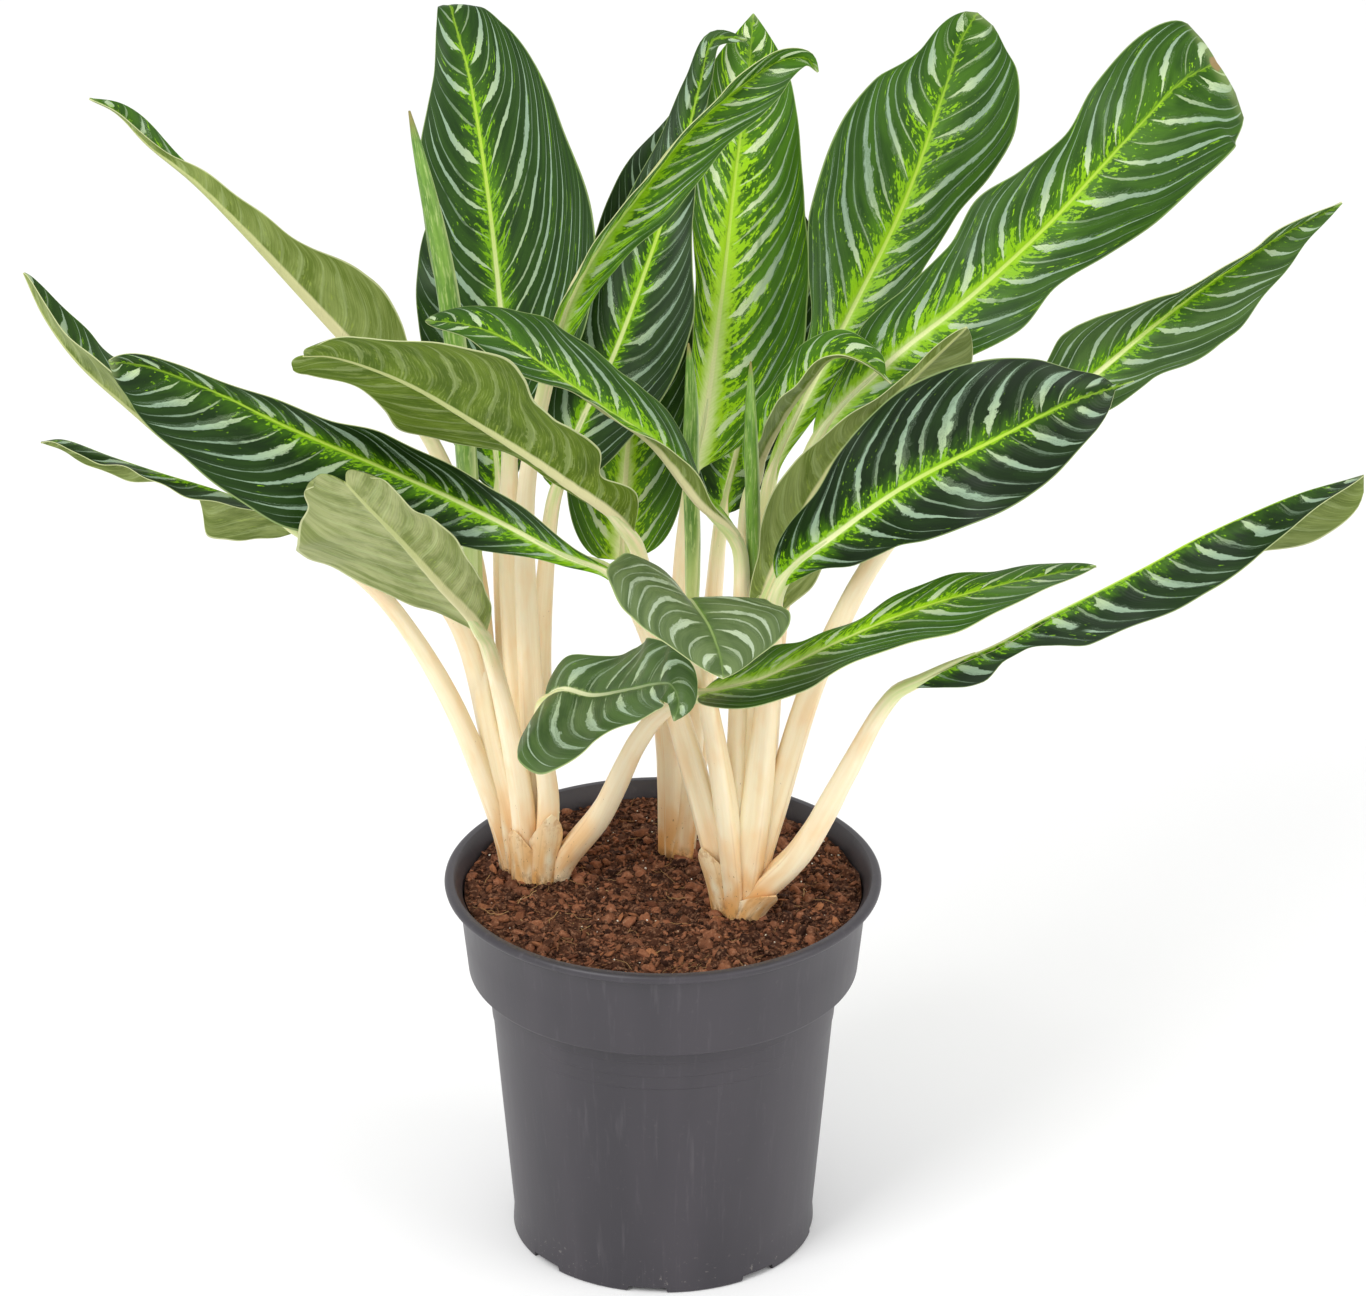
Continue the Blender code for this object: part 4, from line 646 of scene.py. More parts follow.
def streaks(tree, q, reach, edge, hand, seed):
    """Silver streaks on every side vein, broad and thin by turns, with jagged edges and a long thin end."""
    count = q / VEIN_SPACING
    number = count.floor()
    odd = (number * 0.5 - (number * 0.5).floor()) * 2.0
    luck, width_luck, end_luck = lots(tree, number + hand * 41.0, seed * 17.0)
    middle = (luck - 0.5) * 0.34 + 0.5
    away = abs(count - number - middle) * VEIN_SPACING
    notches = mist(tree, q * 4.6, reach * 4.4, seed * 5.0, 5.0, 0.75) - 0.5
    lobes = mist(tree, q * 1.2, reach * 2.6, seed * 9.0, 2.0, 0.5) - 0.5
    broad = width_luck * 0.14 + 0.13
    narrow = width_luck * 0.06 + 0.03
    full = broad + (narrow - broad) * odd
    peak = end_luck * 0.25 + 0.30
    rise = edge.between(0.04, peak)
    fall = 1.0 - edge.between(peak, peak + 0.60)
    belly = rise * fall
    half = full * belly * (lobes * 2.6 + 1.04) + 0.024
    ends = edge.between(0.03, 0.12) * (1.0 - edge.between(0.88, 0.98)) * (1.0 - odd * (luck * 0.5 + 0.15))
    gaps = mist(tree, number * 3.1, reach * 1.5, seed * 4.0, 1.0, 0.5)
    ragged = away + notches * (half * 2.4 + 0.026)
    line = 1.0 - ragged.between(half - 0.014, half + 0.012)
    return line * ends * gaps.between(0.24, 0.34)


def leaf_places(tree):
    """The vein coordinate, the distance from the midrib in cm, and the other values kept at each point."""
    q, across, seed = stored(tree, "vein")
    share, side, scorch = stored(tree, "share")
    habit = stored(tree, "habit")
    return q, abs(across), seed, share, abs(side), side.math("SIGN"), habit, scorch


def make_leaf_top():
    """Dark green with silver streaks, yellow-green flecks about the midrib, a thin pale margin, and painted
    sheen where tone > 1.
    """
    look, tree = new_look("leaf_top")
    q, reach, seed, share, edge, hand, (young, tone, freckled), scorch = leaf_places(tree)
    silver = streaks(tree, q, reach, edge, hand, seed)

    patches = mist(tree, q * 0.9, reach * 0.6, seed * 3.0)
    deep = mixed(patches.between(0.35, 0.7), "071506", "10240b")
    middling = mixed(patches.between(0.3, 0.7), "213e14", "34561a")
    fresh = mixed(patches.between(0.3, 0.7), "356008", "52850f")
    # Painted sheen: where tone is over 1, the dark green turns towards a greyish light green, for leaves that
    # face the light.
    painted_sheen = mixed(patches.between(0.3, 0.7), "5c6f42", "7f8f60")
    dark = mixed(tone.math("MINIMUM", 1.0), deep, middling)
    dark = mixed(tone - 1.0, dark, painted_sheen)
    lit = (freckled * 2.0 + 1.0).math("MINIMUM", 1.0).math("MAXIMUM", 0.0)
    frayed = mist(tree, q * 2.6, reach * 1.1, seed * 6.0) - 0.5
    near = 1.0 - (reach + frayed * 1.6).between(0.1, young * 1.9 + 0.8)
    basal = 1.0 - share.between(0.35, 1.0) * 0.8
    greening = (near * basal * lit * 0.8 + young * 0.60).math("MINIMUM", 1.0)
    colour = mixed(greening, dark, fresh)

    dots = mist(tree, q * 6.0, reach * 5.0, seed * 7.0)
    groups = mist(tree, q * 1.3, reach * 0.5, seed * 2.0 + 4.0, 2.0, 0.5)
    crowd = near * basal * lit * 0.26 + groups.between(0.45, 0.7) * (freckled * 0.16 + 0.02)
    limit = 0.72 - crowd
    flecks = dots.between(limit, limit + 0.05)
    lime = mixed(young, "76ab08", "9bcf14")
    colour = mixed(flecks * 0.9, colour, lime)

    ash = mixed(edge.between(0.1, 0.6), "b2c79a", "8fa88e")
    ash = mixed(young * near, ash, "d9e8b4")
    # Painted sheen: where tone is over 1, the streaks turn paler too.
    ash = mixed(tone - 1.0, ash, "c4d0b0")
    colour = mixed(silver * 0.92, colour, ash)

    glow_reach = ((1.0 - share) ** 1.1) * (young * 0.72 + 0.16) + 0.055
    torn = mist(tree, q * 3.6, reach * 2.6, seed * 8.0) - 0.5
    glow = 1.0 - (reach + torn * 0.9 * (young + 0.35)).between(glow_reach * 0.45, glow_reach * 1.1)
    glow = glow * (lit * 0.8 + 0.15) * (1.0 - share.between(0.6, 0.95) * 0.6)
    colour = mixed(glow, colour, mixed(young * basal, "82b40c", "a3cf22"))
    cream = (1.0 - share.between(0.05, 0.50)) * (young * 0.6 + 0.4)
    core = 1.0 - (reach + torn * 0.5).between(glow_reach * 0.12, glow_reach * 0.8)
    colour = mixed(core * cream, colour, "e4ecb0")

    rib_half = (1.0 - share) * 0.12 + 0.025
    rib = 1.0 - reach.between(rib_half * 0.6, rib_half * 1.1)
    rib_tone = mixed(share.between(0.0, 0.6), "efeec0", mixed(lit, "8fa072", "b2d04a"))
    fine = (q * 40.0).sine() * 0.5 + 0.5
    colour = coated(
        colour,
        (rib * (1.0 - share.between(0.55, 0.95) * 0.8), rib_tone),
        (fine * 0.05, "0e2417"),
        (edge.between(0.976, 0.990) * 0.5, "a9c07c"),
        (share.between(0.975, 1.0) * 0.35, "a9b87c"),
        (scorch.between(0.3, 0.5), "8f7a52"))

    gloss = mist(tree, q * 1.4, reach * 1.4, seed, 2.0, 0.5)
    rough = silver * 0.08 + gloss * 0.12 + 0.34
    height = fine * 0.15 - silver * 0.3 - rib * 1.2
    return finished(look, colour, rough, relief(tree, height, 0.30, 0.0005), Specular_IOR_Level=LEAF_SPECULAR)


def make_leaf_under():
    """Pale olive, with the streaks showing faintly through, and a cream midrib."""
    look, tree = new_look("leaf_under")
    q, reach, seed, share, edge, hand, (young, faded, _), _ = leaf_places(tree)
    silver = streaks(tree, q, reach, edge, hand, seed)
    patches = mist(tree, q * 0.8, reach * 0.8, seed * 3.0)
    dots = mist(tree, q * 5.0, reach * 2.6, seed * 7.0)
    limit = reach * 0.06 + share * 0.10 + 0.52
    dashes = mist(tree, q * 9.0, reach * 1.6, seed * 11.0)
    count = q / VEIN_SPACING
    veins = (1.0 - abs(count - count.floor() - 0.5).between(0.01, 0.08)) * (1.0 - edge.between(0.6, 1.0))
    fine = (q * 40.0).sine() * 0.5 + 0.5
    rib_half = (1.0 - share) * 0.24 + 0.05
    colour = coated(
        mixed(patches.between(0.3, 0.7), "3f560a", "5f761c"),
        (young * 0.7, "7f9a2e"),
        (faded * 0.8, mixed(patches.between(0.3, 0.7), "7f8a4a", "b9bc87")),
        (dots.between(limit, limit + 0.07) * 0.45, "9aac48"),
        (dashes.between(0.50, 0.66) * 0.26, "a8b76a"),
        ((1.0 - dashes.between(0.30, 0.44)) * 0.24, "3c5410"),
        (silver * 0.30, "a9b878"),
        (veins * 0.16, "b9c690"),
        (fine * 0.12, "44561f"),
        (1.0 - reach.between(rib_half * 0.75, rib_half * 1.2),
         mixed(share.between(0.0, 0.7), "ded5a6", "b4bb7c")),
        (edge.between(0.965, 0.98) * 0.7, "cdd2a0"))
    height = fine * 0.3 + veins * 0.6
    return finished(look, colour, 0.5, relief(tree, height, 0.35, 0.0005), Specular_IOR_Level=LEAF_SPECULAR)


def make_stalk_look():
    """Ivory and cream with long streaks, orange and brown towards the soil, and green at the blade."""
    look, tree = new_look("stalk_flesh")
    share, height, seed = stored(tree, "stalk")
    turn, shell, greenness = stored(tree, "turn")
    strands = mist(tree, turn * 9.0, height * 0.25, seed * 9.0)
    blush = mist(tree, turn * 2.0, height * 0.45, seed * 5.0, 2.0, 0.5)
    low = 1.0 - height.between(0.3, 5.0)
    foot = 1.0 - height.between(0.2, 2.4)
    tint = mist(tree, turn * 5.0, height * 0.5, seed * 3.0, 2.0, 0.5)
    edges = 1.0 - abs(abs(turn) - 0.27).between(0.006, 0.03)
    dots = mist(tree, turn * 24.0, height * 5.0, seed * 4.0, 2.0)
    amount = low * 0.09 + 0.02
    stains = mist(tree, turn * 4.0, height * 1.6, seed * 8.0, 4.0, 0.7)
    colour = coated(
        mixed(strands.between(0.35, 0.75) * 0.55, "f4e6c4", "edd6aa"),
        (blush.between(0.45, 0.75) * 0.4, "efc389"),
        (low * blush.between(0.25, 0.6) * 0.75, "e3a556"),
        (foot * blush.between(0.3, 0.6) * 0.4, "d48d3c"),
        (share.between(0.80, 1.04) * tint.between(0.2, 0.65) * greenness, "c3d38a"),
        (share.between(1.0, 1.12) * 0.7, "c9d19a"),
        (edges * (1.0 - share.between(0.30, 0.5)) * 0.20, "b58450"),
        (dots.between(0.78 - amount, 0.80 - amount) * 0.75, "6d4528"),
        ((1.0 - height.between(0.0, 0.7)) * stains.between(0.42, 0.6) * 0.7, "5a3822"),
        (shell * stains.between(0.5, 0.62) * 0.5, "c08a54"))
    lines = (turn * 90.0).sine() * 0.3 + strands
    return finished(look, colour, strands * 0.15 + 0.36, relief(tree, lines, 0.12, 0.0004),
                    Subsurface_Weight=0.12, Subsurface_Radius=(0.012, 0.006, 0.003), Subsurface_Scale=0.4)


def make_spear_look():
    """Smooth fresh green with fine lines, cream at the foot and browned at the tip."""
    look, tree = new_look("spear_green")
    share, height, seed = stored(tree, "stalk")
    turn, wrap, _ = stored(tree, "turn")
    lines = (turn * 60.0 + height * 0.8).sine() * 0.5 + 0.5
    patches = mist(tree, turn * 3.0, height * 0.5, seed * 3.0)
    dashes = mist(tree, turn * 30.0, height * 1.1, seed * 7.0)
    colour = coated(
        mixed(patches.between(0.3, 0.7), "527f22", "83ab45"),
        (dashes.between(0.52, 0.60) * 0.55, "bfd484"),
        (lines * 0.30, "3f6c26"),
        ((1.0 - share.between(0.0, 0.35)) * 0.8, "c8d88c"),
        (wrap.between(0.90, 1.0) * 0.7, "d3dfa4"),
        (share.between(0.93, 1.0) * 0.8, "8a7443"))
    return finished(look, colour, 0.36, relief(tree, lines, 0.2, 0.0004))


def make_soil_look():
    """Moist peat from near black to red-brown, with tan bark, straw fibres and a few white grains."""
    look, tree = new_look("peat_and_bark")
    tone, kind, _ = stored(tree, "grain")
    place = own_place(tree)
    mottle = clouds(tree, place, 520.0, 4.0, 0.65)
    coarse = clouds(tree, place, 110.0, 3.0, 0.6)
    peat = coated(
        mixed((tone * 0.7 + coarse * 0.5).between(0.25, 0.95), "2d170e", "8a583e"),
        (mottle.between(0.48, 0.72) * 0.60, "ad7f62"),
        ((1.0 - mottle.between(0.25, 0.45)) * 0.6, "180c08"))
    bark = mixed(mottle.between(0.4, 0.65) * 0.5, mixed(tone, "5c3626", "a8704c"), "512b1b")
    colour = coated(
        peat,
        (kind.between(0.4, 0.6), bark),
        (kind.between(1.4, 1.6), mixed(tone, "7a5436", "b59364")),
        (kind.between(2.4, 2.6), mixed(tone, "cbbda6", "efe9dc")))
    return finished(look, colour, 0.88, relief(tree, mottle + coarse, 0.7, 0.0012), Specular_IOR_Level=0.15)


def make_pot_look():
    """Satin grey plastic with faint upright drawing marks, a fine grain and a little dust."""
    look, tree = new_look("grey_plastic")
    place = own_place(tree)
    x, y, z = parts_of(place)
    drawn = mist(tree, x * 320.0, y * 320.0, z * 9.0)
    broad = mist(tree, x * 30.0, y * 30.0, z * 5.0, 2.0, 0.5)
    grain = clouds(tree, place, 2600.0, 2.0, 0.5)
    colour = mixed(broad.between(0.3, 0.7), "2f2c32", "39353b")
    colour = mixed(drawn.between(0.55, 0.8) * 0.30, colour, "5c585c")
    dust = clouds(tree, place, 420.0, 3.0, 0.7)
    low = 1.0 - z.between(0.004, 0.022)
    colour = mixed(dust.between(0.62, 0.72) * (low * 0.45 + 0.05), colour, "8b8680")
    normal = relief(tree, drawn * 0.5 + grain * 0.5, 0.10, 0.0003)
    return finished(look, colour, drawn * 0.10 + broad * 0.08 + 0.34, normal)


# Meshes
def new_object(name, data):
    made = bpy.data.objects.new(name, data)
    bpy.context.scene.collection.objects.link(made)
    return made


class Shape:
    """Vertices, faces, each face's material and each vertex's stored numbers, gathered for one piece."""

    def __init__(self, *names):
        self.points = []
        self.faces = []
        self.looks = []
        self.kept = {name: [] for name in names}

    def add(self, points, faces, looks=None, **kept):
        start = len(self.points)
        self.points.extend(points)
        self.faces.extend([tuple(start + k for k in face) for face in faces])
        self.looks.extend(looks or [0] * len(faces))
        for name, values in kept.items():
            self.kept[name].extend(values)

    def add_dots(self, dots, faces):
        """Points that each come with their stored numbers, in the order of this shape's names."""
        points, *kept = zip(*dots)
        self.add(points, faces, **dict(zip(self.kept, kept)))

    def piece(self, name, materials, slot, *stands_for, sharp=60):
        mesh = bpy.data.meshes.new(name)
        mesh.from_pydata([tuple(p) for p in self.points], [], self.faces)
        for material in materials:
            mesh.materials.append(material)
        mesh.polygons.foreach_set("material_index", self.looks)
        for kept, values in self.kept.items():
            layer = mesh.attributes.new(kept, "FLOAT_VECTOR", "POINT")
            layer.data.foreach_set("vector", np.array(values, dtype=np.float32).ravel())
        mesh.shade_smooth()
        mesh.set_sharp_from_angle(angle=math.radians(sharp))
        mesh.update()
        made = new_object(name, mesh)
        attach(made, "root")
        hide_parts(*stands_for)
        return made


def sheet_faces(rows, columns, flip=False, closed=False):
    """Quads between neighbouring rows of a grid; closed joins the last column to the first."""
    faces = []
    for i in range(rows - 1):
        for j in range(columns if closed else columns - 1):
            after = (j + 1) % columns
            face = (i * columns + j, i * columns + after, (i + 1) * columns + after, (i + 1) * columns + j)
            faces.append(face[::-1] if flip else face)
    return faces


def tube_faces(rings, sides):
    """Quads round a tube of rings, and a face over each end."""
    last = (rings - 1) * sides
    ends = [tuple(reversed(range(sides))), tuple(range(last, last + sides))]
    return sheet_faces(rings, sides, closed=True) + ends


def shell_faces(rows, columns):
    """The underside and the rim of a shell, whose under points follow its upper points in the list."""
    count = rows * columns
    faces = [tuple(count + k for k in face) for face in sheet_faces(rows, columns, flip=True)]
    for i in range(rows - 1):
        for j in (0, columns - 1):
            a, b = i * columns + j, (i + 1) * columns + j
            face = (a, b, count + b, count + a)
            faces.append(face if j == 0 else face[::-1])
    for i in (0, rows - 1):
        for j in range(columns - 1):
            a, b = i * columns + j, i * columns + j + 1
            face = (a, b, count + b, count + a)
            faces.append(face[::-1] if i == 0 else face)
    return faces


def smooth(points):
    """Fine points on a smooth curve through the given points (Catmull-Rom), and where each given point is."""
    knots = [0.0]
    for a, b in zip(points, points[1:]):
        knots.append(knots[-1] + math.sqrt((b - a).length))
    full = [points[0] * 2 - points[1]] + points + [points[-1] * 2 - points[-2]]
    times = [-knots[1]] + knots + [2 * knots[-1] - knots[-2]]
    fine, places = [], []
    for i in range(1, len(full) - 2):
        t0, t1, t2, t3 = times[i - 1:i + 3]
        p0, p1, p2, p3 = full[i - 1:i + 3]
        places.append(len(fine))
        for step in range(CURVE_STEPS):
            t = t1 + (t2 - t1) * step / CURVE_STEPS
            a1 = p0 * ((t1 - t) / (t1 - t0)) + p1 * ((t - t0) / (t1 - t0))
            a2 = p1 * ((t2 - t) / (t2 - t1)) + p2 * ((t - t1) / (t2 - t1))
            a3 = p2 * ((t3 - t) / (t3 - t2)) + p3 * ((t - t2) / (t3 - t2))
            b1 = a1 * ((t2 - t) / (t2 - t0)) + a2 * ((t - t0) / (t2 - t0))
            b2 = a2 * ((t3 - t) / (t3 - t1)) + a3 * ((t - t1) / (t3 - t1))
            fine.append(b1 * ((t2 - t) / (t2 - t1)) + b2 * ((t - t1) / (t2 - t1)))
    places.append(len(fine))
    fine.append(points[-1].copy())
    return fine, places


def along(fine, distances):
    """Points and directions at these distances along a fine curve."""
    run = [0.0]
    for a, b in zip(fine, fine[1:]):
        run.append(run[-1] + (b - a).length)
    points, ways = [], []
    at = 0
    for goal in distances:
        while at < len(run) - 2 and run[at + 1] <= goal + 1e-9:
            at += 1
        part = (goal - run[at]) / (run[at + 1] - run[at])
        points.append(fine[at].lerp(fine[at + 1], part))
        before, after = fine[max(at - 1, 0)], fine[min(at + 2, len(fine) - 1)]
        start = (fine[at] - before) if at else (fine[at + 1] - fine[at])
        middle = fine[at + 1] - fine[at]
        end = after - fine[at + 1] if at + 2 < len(fine) else middle
        way = (start + middle).lerp(middle + end, part)
        ways.append(way.normalized())
    return points, ways


def route(leaf):
    """The whole line of a leaf from inside its crown to its tip, how far the blade starts, and its length."""
    x, y, _ = CROWNS[leaf["crown"]]
    root_x, root_y = leaf["root"]
    rise = [Vector((x + root_x, y + root_y, height)) * MM for height in ROOT_HEIGHTS]
    stalk = [Vector(p) * MM for p in leaf["stalk"]]
    blade = [Vector(p) * MM for p in leaf["blade"]]
    fine, places = smooth(rise + stalk + blade)
    cut = places[len(rise) + len(stalk) - 1]
    base = sum((b - a).length for a, b in zip(fine[:cut], fine[1:cut + 1]))
    total = sum((b - a).length for a, b in zip(fine, fine[1:]))
    return fine, base, total


def outline(share, widest, taper):
    """Half-width of a blade along its length, 1 where it is widest; a small taper gives it blunt ends."""
    near, far = taper * widest, taper * (1 - widest)
    return share ** near * (1 - share) ** far / (widest ** near * (1 - widest) ** far)


def blend(values, share):
    """The value at a share of the way through two or more values set evenly."""
    place = min(max(share, 0.0), 1.0) * (len(values) - 1)
    at = min(int(place), len(values) - 2)
    return values[at] + (values[at + 1] - values[at]) * (place - at)


def slope(before, after):
    """The slope of a smooth curve between two straight stretches, level at a peak or a dip."""
    return 2 * before * after / (before + after) if before * after > 0 else 0.0


def graded(table, share):
    """Values at a share along a table of (share, value, ...) rows, on a smooth curve through every row."""
    at = max(k for k in range(len(table) - 1) if k == 0 or share >= table[k][0])
    low, high = table[at], table[at + 1]
    before, after = table[max(at - 1, 0)], table[min(at + 2, len(table) - 1)]
    span = high[0] - low[0]
    part = (share - low[0]) / span
    values = []
    for k in range(1, len(low)):
        rise = (high[k] - low[k]) / span
        start = slope((low[k] - before[k]) / (low[0] - before[0]), rise) if at else rise
        end = slope(rise, (after[k] - high[k]) / (after[0] - high[0])) if after is not high else rise
        value = low[k] + (high[k] - low[k]) * part * part * (3 - 2 * part)
        values.append(value + span * part * (1 - part) * (start * (1 - part) - end * part))
    return values


def near_ends(s):
    """How near a share of the length is to the base and to the tip, 1 at the end and 0 from END_PART on."""
    return max(0.0, 1 - s / END_PART), max(0.0, 1 - (1 - s) / END_PART)


def half_widths(leaf, s, shape):
    """The left and right half-widths of a blade at share s, from the shape of its kind and its own edges."""
    base, tip = near_ends(s)
    base_width, tip_width = leaf.get("blunt", (0, 0))
    width = math.hypot(leaf["half"] * MM * shape, base * base_width * MM, tip * tip_width * MM)
    left, right = graded(leaf["edge"], s) if "edge" in leaf else (1, 1)
    skew = leaf.get("skew", 0)
    return width * (1 - skew) * left, width * (1 + skew) * right


def lobe(leaf, s, t):
    """How far along the leaf its edge reaches past the midrib's own end, for a notched base or tip."""
    base, tip = near_ends(s)
    base_lobe, tip_lobe = leaf.get("lobes", (0, 0))
    outer = max(0.0, t - 0.5) * 2
    return (tip_lobe * tip ** 2 * 4 * t * (1 - t) - base_lobe * (base * outer) ** 2) * MM


def bent(reach, fold, curl):
    """How far out and up half a blade comes at a reach along it: it starts at fold and turns by curl."""
    if abs(curl) < 1e-4:
        return reach * math.cos(fold), reach * math.sin(fold)
    out = (math.sin(fold + curl) - math.sin(fold)) / curl
    lift = (math.cos(fold) - math.cos(fold + curl)) / curl
    return reach * out, reach * lift


def squared(vector, way):
    """The direction nearest to a vector that is square to a curve's way, and the one square to both."""
    first = (vector - way * vector.dot(way)).normalized()
    return first, way.cross(first)


def bell(distance, half):
    return math.exp(-(distance / half) ** 2)


def blade_row(leaf, looks, seed, s, point, way, run):
    """Each point across a blade at share s of its length: on top, under it and what the material needs."""
    faces = [Vector(face) for face in leaf["face"]]
    up, side = squared(blend(faces, s), way)
    fold = math.radians(blend(leaf["fold"], s))
    curl = math.radians(blend(leaf["curl"], s))
    end, blunt = (TIP_START, TIP_BLUNTNESS) if looks.get("pointed") else (1.0, 1.0)
    taper = leaf.get("taper", USUAL_TAPER) * blunt
    shape = outline(min(s / end, 1.0), leaf["widest"] / end, taper)
    least = BASE_HALF_WIDTH * max(0.0, 1 - 2 * s) + TIP_HALF_WIDTH * s
    if looks.get("pointed"):
        point_width = TIP_WIDTH * min(1.0, (1 - s) / (1 - TIP_START) / 2.2) ** 1.4
        least = math.hypot(least, point_width * min(1.0, max(0.0, s - 0.6) * 5))
    left, right = half_widths(leaf, s, shape)
    widths = {-1: math.hypot(left, least), 1: math.hypot(right, least)}
    calm = min(1.0, s * 4, (1 - s) * 4)
    dots = []
    for column in range(-BLADE_COLUMNS, BLADE_COLUMNS + 1):
        hand = -1 if column < 0 else 1
        t = (abs(column) / BLADE_COLUMNS) ** COLUMN_CROWDING
        reach = widths[hand] * t
        out, lift = bent(reach, fold, curl * t)
        wave = math.sin(2 * math.pi * RIPPLES * s + hand * 1.3)
        wave += FINE_RIPPLE_SHARE * math.sin(2 * math.pi * FINE_RIPPLES * s + hand * 2.1 + seed * 5)
        lift += leaf["ripple"] * MM * t * t * wave * calm
        lift += UNEVENNESS * t * calm * noise.noise(Vector((s * 5.0, t * hand * 1.5, seed * 7.3)))
        lean = fold + curl * t if t else 0.0
        normal = up * math.cos(lean) - side * hand * math.sin(lean)
        place = point + side * hand * out + up * lift + way * lobe(leaf, s, t)
        c = reach / CM
        lead = VEIN_LEAD[0] + VEIN_LEAD[1] * t + VEIN_LEAD[2] * t ** 3
        q = run / CM - c * lead * looks.get("steep", (1, 1))[hand > 0] + hand * 0.3 + seed * 3.7
        q += VEIN_WANDER * noise.noise(Vector((run / CM * 0.35, hand * c * 0.5, seed * 9.1)))
        vein_dip = math.cos(2 * math.pi * (q / VEIN_SPACING - 0.5))
        quilt = QUILT * vein_dip * min(1.0, t * 5) * (1 - t) * calm
        thick = blend((BLADE_THICKNESS, BLADE_THICKNESS, MARGIN_THICKNESS), t) / 2
        groove = GROOVE_DEPTH * bell(reach, GROOVE_HALF_WIDTH) * (1 - 0.8 * s)
        rib = RIB_DEPTH * bell(reach, RIB_HALF_WIDTH * (1.1 - 0.7 * s)) * (1 - 0.85 * s)
        scorch = bell(math.hypot(1 - s, t * 0.06), looks["scorch"]) if "scorch" in looks else 0.0
        top = place + normal * (thick - groove - quilt)
        low = place - normal * (thick + rib + quilt)
        dots.append((top, low, (q, c * hand, seed), (s, t * hand, scorch)))
    return dots


def make_blade(name, leaf, top_look, under_look):
    """One blade: a fine thin shell with its grooves, quilting and midrib, in place of the CAD solid."""
    looks = LOOKS[name]
    seed = list(LEAVES).index(name) * 0.613 % 1.0
    if "tip" in looks:
        leaf = dict(leaf, blade=leaf["blade"][:-len(looks["tip"])] + looks["tip"])
    fine, base, total = route(leaf)
    start = base + STALK_GAP
    runs = [start + (total - start) * k / (BLADE_ROWS - 1) for k in range(BLADE_ROWS)]
    points, ways = along(fine, runs)
    dots = []
    for k, (point, way) in enumerate(zip(points, ways)):
        dots += blade_row(leaf, looks, seed, k / (BLADE_ROWS - 1), point, way, runs[k] - start)
    tops, lows, vein, share = zip(*dots)
    count = 2 * BLADE_COLUMNS + 1
    shape = Shape("vein", "share", "habit")
    upper = sheet_faces(BLADE_ROWS, count)
    lower = shell_faces(BLADE_ROWS, count)
    stages = looks["young"] if isinstance(looks["young"], tuple) else (looks["young"], looks["young"])
    young = [blend(stages, k / (BLADE_ROWS - 1)) for k in range(BLADE_ROWS) for _ in range(count)]
    habit = [(value, looks.get("tone", 0.2), looks.get("freckled", 0.5)) for value in young]
    habit += [(value, looks.get("faded", 0.3), 0.0) for value in young]
    shape.add(tops + lows, upper + lower, [0] * len(upper) + [1] * len(lower),
              vein=vein * 2, share=share * 2, habit=habit)
    slot = "leaf_young" if name in YOUNG else "leaf_dark"
    return shape.piece("blade_" + name, [top_look, under_look], slot, "leaf_" + name)


def stalk_radius(share, girth):
    """A stalk's radius at a share of its length, thick at the foot and slim at the blade."""
    return blend(STALK_RADII, share) * (1 + (girth - 1) * math.sin(math.pi * min(1, 0.25 + share * 0.75)))


def foot_swell(height):
    """How much thicker a stalk is at a height over the soil."""
    return 1 + FOOT_SWELL * bell(height, FOOT_SWELL_HEIGHT)


def add_stalk(shape, leaf, looks, seed):
    """A leaf stalk with the two ridges and the channel of its sheath, which runs on under the blade."""
    fine, base, total = route(leaf)
    end = base + STALK_OVERLAP * (total - base)
    runs = [end * k / (STALK_RINGS - 1) for k in range(STALK_RINGS)]
    points, ways = along(fine, runs)
    face = Vector(leaf["face"][0]) if "face" in leaf else Vector((0, -1, 0.2))
    soil_z = SOIL_EDGE_Z + SOIL_CROWN_RISE
    dots = []
    up = Vector((0, -1, 0))
    for run, point, way in zip(runs, points, ways):
        share = run / base
        flat = face - way * face.dot(way)
        if flat.length > 0.25:
            up = flat
        up, side = squared(up, way)
        radius = stalk_radius(min(share, 1.0), looks.get("girth", 1.0))
        over = max(0.0, (run - base) / (end - base))
        radius *= (1 - over) ** 0.8 * 0.92 + 0.08
        radius *= foot_swell(point.z - soil_z)
        radius *= 1 + 0.035 * noise.noise(Vector((run * 60, seed * 11, 0.3)))
        sink = graded(STALK_SINK, share)[0]
        centre = point - up * sink * (radius * 0.80 + 0.2 * MM)
        sheath = graded(SHEATH_CLEAR, share)[0]
        for k in range(STALK_SIDES):
            turn = 2 * math.pi * k / STALK_SIDES
            angle = (turn + math.pi) % (2 * math.pi) - math.pi
            swell = 1 - CHANNEL_DEPTH * sheath * bell(angle, CHANNEL_HALF_ANGLE)
            for ridge in (RIDGE_ANGLE, -RIDGE_ANGLE):
                swell += RIDGE_HEIGHT * sheath * bell(angle - ridge, RIDGE_HALF_ANGLE)
            swell += 0.02 * math.sin(5 * angle + seed * 20) * (1 - over)
            spoke = up * math.cos(angle) + side * math.sin(angle)
            place = centre + spoke * radius * swell
            dots.append((place, (share, (point.z - soil_z) / CM, seed), (angle / math.pi, 0.0, 1.0)))
    shape.add_dots(dots, tube_faces(STALK_RINGS, STALK_SIDES))


